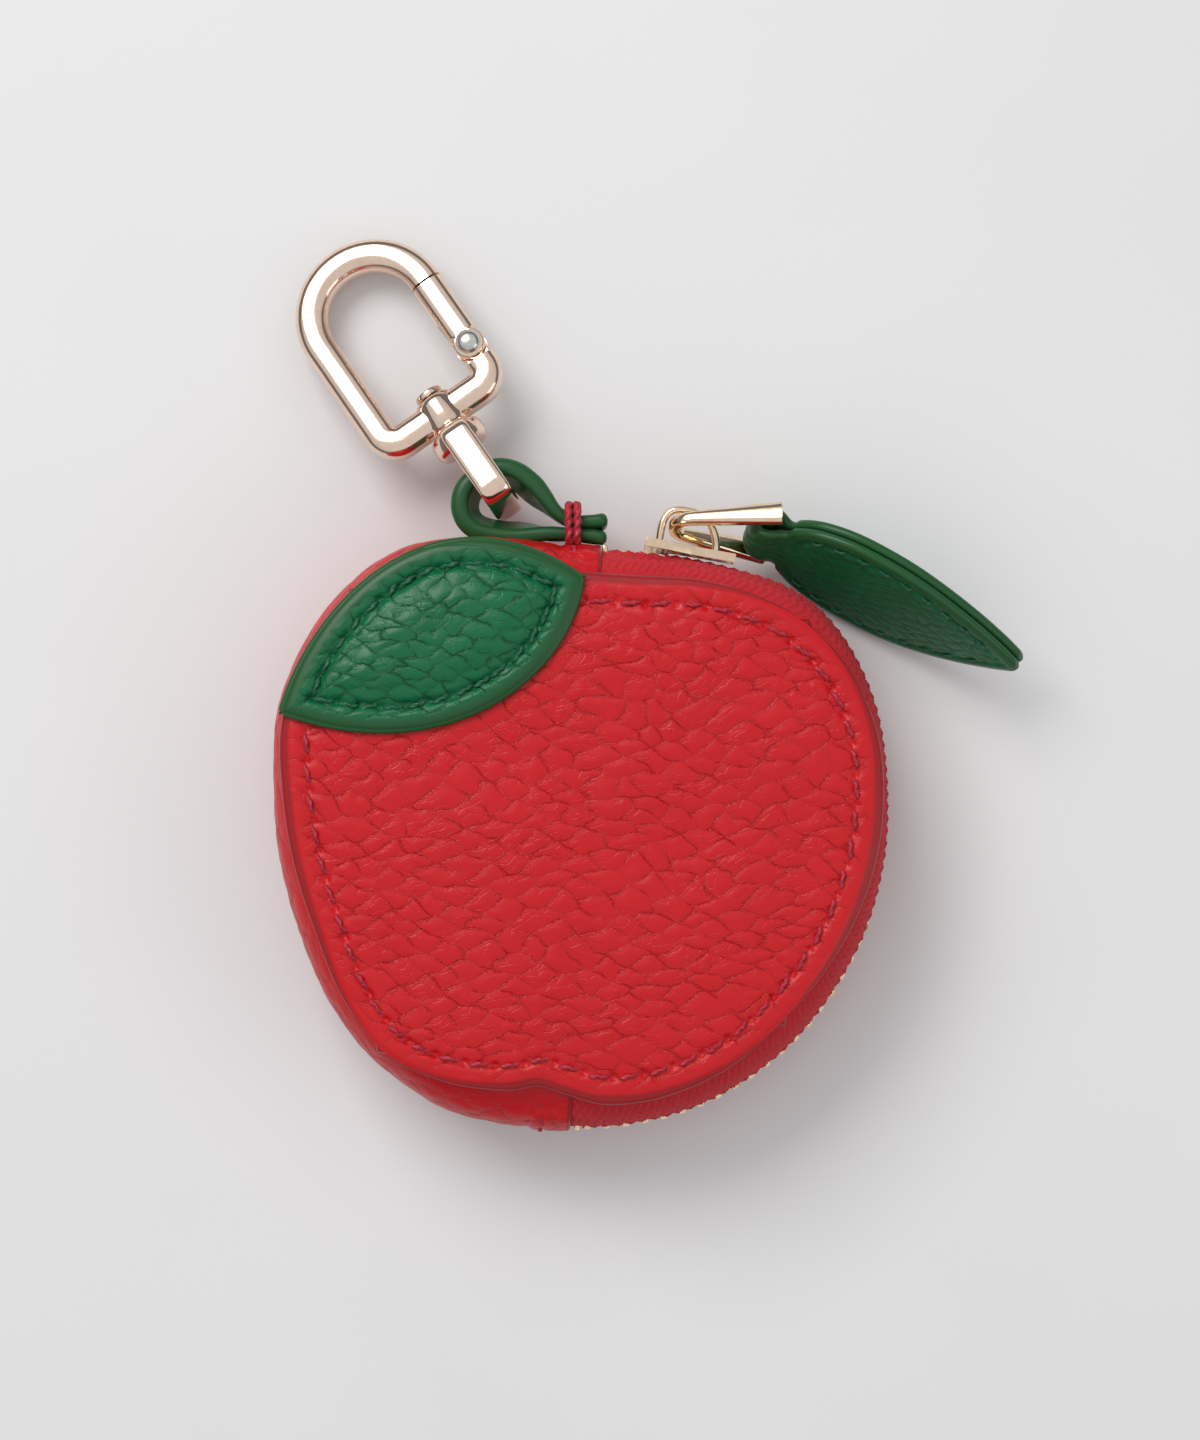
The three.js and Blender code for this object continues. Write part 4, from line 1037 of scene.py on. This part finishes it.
wraps, faces = [], []
for shift in (-0.5, 0.5):
    wrap = through_points([
        (shift, 39.5, 8.2), (shift, 39.6, 7.4), (shift, 42.0, 7.25), (shift, 43.9, 7.5),
        (shift, 44.35, 8.4), (shift, 44.4, 12.0), (shift, 44.35, 15.6), (shift * 1.2, 43.9, 16.5),
        (shift * 1.2, 42.0, 16.75), (shift, 39.9, 16.6), (shift, 39.3, 15.8), (shift, 39.0, 14.6),
    ], 8) + np.array([NECK_X, 0, 0])
    points, wound = swept(wrap, round_section(0.52, 10, 0.24), (1, 0, 0), 1.0, 2.4)
    start = sum(len(p) for p in wraps)
    wraps.append(points)
    faces += [[v + start for v in face] for face in wound]
binding = make_mesh("strap_binding", np.concatenate(wraps), faces, red_thread)
face_outwards(binding)
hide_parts("strap_thread")
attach(binding, "purse")

# ---- Slider -------------------------------------------------------------------------------------
# A die-cast slider in pale gold rides on the teeth. An arched bridge on its top plate holds the ring.
softened("slider_casting", "slider_body", 0.28, pale_gold, "zip_slider")
SLIDER_MIDDLE = np.array([12.62997, 36.6801, 12.0])
SLIDER_AXES = np.array([[0.98398, -0.17826, 0.0], [0.17826, 0.98398, 0.0], [0.0, 0.0, 1.0]])

# ---- Pull ring ----------------------------------------------------------------------------------
# A flat-sided ring, wider at its far end, where a round bar carries the leather leaf.
RING_SEAT = np.array([11.50874, 41.71054, 12.0])
RING_AXES = np.array([
    [0.9864, -0.06906, -0.14912], [0.0069, 0.92402, -0.38227], [0.16419, 0.37605, 0.91194],
])


def arc(x, y, radius, start, stop, count):
    a = np.radians(np.linspace(start, stop, count))
    return np.stack([x + radius * np.cos(a), y + radius * np.sin(a)], 1)


def straight_run(a, b, count=12):
    t = np.linspace(0, 1, count)[:, None]
    return np.array(a, float) * (1 - t) + np.array(b, float) * t


def boolean(made, other, operation):
    cutter = made.modifiers.new(operation.lower(), "BOOLEAN")
    cutter.object = other
    cutter.operation = operation
    cutter.solver = "EXACT"
    as_plain_mesh(made)
    bpy.data.objects.remove(other)


def bar_solid(name, line, section, radius, up, finish, origin, axes):
    """A bar swept in a part's own frame, ready to join to others."""
    line = np.asarray(line, float)
    if line.shape[1] == 2:
        line = np.column_stack([line, np.zeros(len(line))])
    points, faces = swept(line, section, up, radius)
    made = make_mesh(name, origin + points @ axes, faces, finish)
    face_outwards(made)
    return made


def finished(made, node, body):
    made.data.polygons.foreach_set("use_smooth", [True] * len(made.data.polygons))
    made.data.set_sharp_from_angle(angle=math.radians(40))
    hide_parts(node)
    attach(made, body)


arm = straight_run((12.95, -6.45), (1.6, -2.86), 20)
ring_line = np.concatenate([arm, arc(1.35, 0, 2.0, -105, -255, 26) * (1, 1.32), arm[::-1] * (1, -1)])
ring_line = np.column_stack([ring_line[:, 0], np.zeros(len(ring_line)), ring_line[:, 1]])
share = np.clip((ring_line[:, 0] + 0.6) / 13.5, 0, 1)
ring_size = np.column_stack([0.85 + 0 * share, 0.80 + 0.80 * share])
bridge_points = np.array([v.co / MM for v in bpy.data.objects["slider_bridge"].data.vertices])
foot = float(((bridge_points - SLIDER_MIDDLE) @ SLIDER_AXES[1]).min())
arch_line = through_points([
    (-4.35, foot + 0.02), (-4.4, foot + 1.3), (-4.3, foot + 2.8), (-3.6, foot + 4.15), (-2.3, foot + 4.7),
    (0.2, foot + 4.6), (1.9, foot + 3.8), (2.9, foot + 2.2), (3.35, foot + 0.9), (3.4, foot + 0.02),
], 6)
arch_section = round_section(1.0, 20, flat=2.6) * (0.56, 1.12)
slider_frame, ring_frame = (SLIDER_MIDDLE, SLIDER_AXES), (RING_SEAT, RING_AXES)
arch = bar_solid("slider_arch", arch_line, arch_section, 1.0, (0, 0, 1), pale_gold, *slider_frame)
finished(arch, "slider_bridge", "zip_slider")
ring_section = round_section(1.0, 24, flat=3.2)
ring = bar_solid("ring_casting", ring_line, ring_section, ring_size, (0, 1, 0), pale_gold, *ring_frame)
end_line = [(11.9, 0, -6.5), (11.9, 0, 6.5)]
end_bar = bar_solid("end_bar", end_line, round_section(1.0, 20), 1.0, (0, 1, 0), pale_gold, *ring_frame)
boolean(ring, end_bar, "UNION")
finished(ring, "pull_ring", "zip_ring")

# ---- Leather pull -------------------------------------------------------------------------------
# One leaf-shaped strip of green leather, folded round the ring's bar, glued back to back and sewn near
# its edge. Its edges are painted dark, with a fine line where the two layers meet.
LEAF_PIVOT = np.array([23.24695, 40.8887, 10.22546])
LEAF_AXES = np.array([
    [0.88355, -0.46714, 0.03355], [0.43862, 0.80023, -0.40896], [0.16419, 0.37605, 0.91194],
])
PULL_LAYER = 1.45
LAYER_OFF = 0.80
FOLD_RADIUS = 1.95
PULL_HALF_WIDTHS = [
    (-3.2, 2.7), (-2.0, 3.2), (0, 3.9), (2.8, 4.5), (3.6, 6.0), (6.4, 8.3), (10.6, 9.8), (15, 10.2),
    (20.4, 9.8), (25.8, 8.3), (31.2, 5.9), (35.6, 3.3), (38.1, 1.5), (39, 0.8),
]


def blade_sag(x):
    """How far the pull's blade hangs off a straight line."""
    return (0.9 * (x / 39) ** 2 + 0.25 * np.sin(x / 5.5)) * smooth_between(x, 3.0, 5.0) * 0.5


fold = np.radians(np.linspace(68, 292, 40))
bend = np.stack([FOLD_RADIUS * np.cos(fold), FOLD_RADIUS * np.sin(fold)], 1)
run = np.linspace(0, 1, 150)[:, None]
straight = np.array([38.6, LAYER_OFF]) * (1 - run) + np.array([3.4, LAYER_OFF]) * run
neck = through_points([(3.2, LAYER_OFF), (2.2, 1.05), (1.3, 1.55)], 8)
one_layer = np.concatenate([straight, neck])
line = np.concatenate([one_layer, bend, one_layer[::-1] * np.array([1, -1])])
line, _ = spaced(line, 0.32)
half_width = through_points(PULL_HALF_WIDTHS, 20)
wide = np.interp(line[:, 0], half_width[:, 0], half_width[:, 1]) - 0.55
across = np.linspace(-1, 1, 74)
z = wide[:, None] * across[None]
x, y = (np.broadcast_to(line[:, k, None], z.shape) for k in (0, 1))
outline = np.concatenate([half_width, half_width[::-1] * np.array([1, -1])])
dense = np.concatenate([np.linspace(a, b, 4, endpoint=False) for a, b in zip(outline, outline[1:])])
from_rim = distance_to(dense[::2], x, z)
on_blade = smooth_between(x, 3.0, 5.0)
dish = 0.10 * on_blade * smooth_between(from_rim, 2.6, 6.0)
dish -= 0.26 * on_blade * np.exp(-(((from_rim - 1.9) / 0.5) ** 2))
dish -= 0.18 * np.exp(-(((from_rim - 0.3) / 0.5) ** 2))
middle = LEAF_PIVOT + np.stack([x, y + blade_sag(x), z], 2) @ LEAF_AXES
flat = np.stack([x * 1.7 + 500 + 60 * (y > 0), z * 1.7], 2)
leaf_pull_leather = hide(
    "leaf_pull_leather", middle, PULL_LAYER, green_leather, flat, dish, 0.0,
    smooth_between(from_rim, 0.9, 1.9), paint=1.9, from_rim=from_rim,
)
leaf_pull_leather = run_tree(leaf_pull_leather, grain_tree, Depth=0.55, Leather=green_leather)
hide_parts("leaf_pull")
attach(leaf_pull_leather, "zip_leaf")

seams = []
for layer in (-1, 1):
    for side in (-1, 1):
        seam_x = np.linspace(5.6, 34.5, 300)
        seam_y = layer * (LAYER_OFF + PULL_LAYER / 2 - 0.15) + blade_sag(seam_x)
        seam_z = side * (np.interp(seam_x, half_width[:, 0], half_width[:, 1]) - 2.1)
        seam = LEAF_PIVOT + np.stack([seam_x, seam_y, seam_z], 1) @ LEAF_AXES
        seams.append((*spaced(seam, 3.3, 0.5), layer * LEAF_AXES[1]))
pull_stitches = row_of_seams("pull_stitches", one_stitch, seams, green_thread, 0.66, SLANT)
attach(pull_stitches, "zip_leaf")
for template in (one_stitch, one_tooth):
    bpy.data.objects.remove(template)

# ---- Clasp --------------------------------------------------------------------------------------
# A swivel clasp in polished rose gold. Its square eye holds the strap, a riveted stud joins the eye to
# the hook's collar, and the hook is one bent bar with a sprung gate on a steel pin.
CLASP_PIVOT = np.array([-12.4, 44.8, 12.0])
CLASP_AXES = np.array([
    [-0.55642, 0.80358, -0.21132], [-0.82214, -0.56928, 0.0], [-0.1203, 0.17374, 0.97742],
])
HOOK_BAR = 4.5
HOOK_WIDTH = 21.7
HOOK_CORNER = 2.5
GATE_JOINT = 31.9
GATE_PIVOT = 21.2
GATE_GAP = 0.3
TONGUE = 0.9
softened("stud_rivet", "swivel_stud", 0.25, rose_gold, "swivel_base")
softened("gate_rivet", "gate_pin", 0.12, bright_steel, "hook", segments=2, sharp=40)
softened("gate_leaf_spring", "gate_spring", 0.05, bright_steel, "hook", segments=1)


def clasp_solid(line, section, radius=1.0, up=(0, 0, 1)):
    return bar_solid("clasp_solid", line, section, radius, up, rose_gold, CLASP_PIVOT, CLASP_AXES)


eye_line = np.concatenate([
    straight_run((11.6, 0.35), (11.6, 4.2)), arc(10.0, 4.4, 1.6, 0, 90, 8),
    straight_run((9.8, 6.0), (1.8, 6.0)), arc(1.6, 4.4, 1.6, 90, 180, 8),
    straight_run((0, 4.2), (0, -4.2)), arc(1.6, -4.4, 1.6, 180, 270, 8),
    straight_run((1.8, -6.0), (9.8, -6.0)), arc(10.0, -4.4, 1.6, 270, 360, 8),
    straight_run((11.6, -4.2), (11.6, -0.35)),
])
eye_line = np.column_stack([eye_line[:, 0], np.zeros(len(eye_line)), eye_line[:, 1]])
eye = clasp_solid(eye_line, round_section(1.0, 28, flat=4.0) * (0.8, 2.05), up=(0, 1, 0))
boss_line = [(x, 0, 0) for x in (9.5, 9.6, 9.9, 10.4, 11.8, 12.2, 12.4)]
boss_shape = np.array([0.80, 0.88, 0.96, 1, 1, 0.95, 0.86])
boolean(eye, clasp_solid(boss_line, round_section(3.9, 40), boss_shape), "UNION")
eye.name = "eye_casting"

bar_y = (HOOK_WIDTH - HOOK_BAR) / 2
bottom_x = 15.4
arc_x = GATE_JOINT + GATE_GAP + 0.5
hook_line = np.concatenate([
    straight_run((GATE_PIVOT - HOOK_BAR / 2 - GATE_GAP, -bar_y), (bottom_x + HOOK_CORNER + 0.1, -bar_y)),
    arc(bottom_x + HOOK_CORNER, -bar_y + HOOK_CORNER, HOOK_CORNER, -90, -180, 14),
    straight_run((bottom_x, -bar_y + HOOK_CORNER + 0.2), (bottom_x, bar_y - HOOK_CORNER - 0.2)),
    arc(bottom_x + HOOK_CORNER, bar_y - HOOK_CORNER, HOOK_CORNER, 180, 90, 14),
    straight_run((bottom_x + HOOK_CORNER + 0.2, bar_y), (arc_x - 0.2, bar_y)),
    arc(arc_x, 0, bar_y, 90, -90, 60),
    np.array([[arc_x - 0.2, -bar_y], [GATE_JOINT + GATE_GAP, -bar_y]]),
])
bar = round_section(HOOK_BAR / 2, 28, flat=3.0)
hook = clasp_solid(hook_line, bar)
collar_line = [(x, 0, 0) for x in (12.9, 13.0, 13.3, 13.9, 16.9, 17.5, 17.8, 17.9)]
collar_shape = np.array([0.74, 0.86, 0.95, 1, 1, 0.95, 0.86, 0.74])
boolean(hook, clasp_solid(collar_line, round_section(3.0, 40), collar_shape), "UNION")
tongue_line = [(GATE_PIVOT + x, -bar_y) for x in (-3.6, 0, 0.9, 1.5)]
root = HOOK_BAR * 0.36
tongue_box = np.array([(-root, -TONGUE), (root, -TONGUE), (root, TONGUE), (-root, TONGUE)])
boolean(hook, clasp_solid(tongue_line, tongue_box), "UNION")
boolean(hook, clasp_solid([(11.5, 0), (19.2, 0)], round_section(1.45, 24)), "DIFFERENCE")
hook.name = "hook_bar"

gate_line = straight_run((GATE_PIVOT - 1.3, -bar_y), (GATE_JOINT, -bar_y))
gate_shape = np.interp(np.linspace(0, 1, 12), [0, 0.04, 0.12, 1], [0.80, 0.94, 1, 1])
gate = clasp_solid(gate_line, bar, gate_shape)
knuckle_line = [(GATE_PIVOT, -bar_y, z) for z in (-2.2, -2.1, -1.8, 1.8, 2.1, 2.2)]
knuckle_shape = np.array([0.86, 0.94, 1, 1, 0.94, 0.86])
knuckle = clasp_solid(knuckle_line, round_section(HOOK_BAR / 2 - 0.02, 32), knuckle_shape, (0, 1, 0))
boolean(gate, knuckle, "UNION")
slot_box = np.array([(-4, -1.2), (4, -1.2), (4, 1.2), (-4, 1.2)])
boolean(gate, clasp_solid([(GATE_PIVOT - 4, -bar_y), (GATE_PIVOT + 4.6, -bar_y)], slot_box), "DIFFERENCE")
gate.name = "gate_bar"
finished(eye, "swivel_eye", "swivel_base")
finished(hook, "hook_body", "hook")
finished(gate, "hook_gate", "gate")
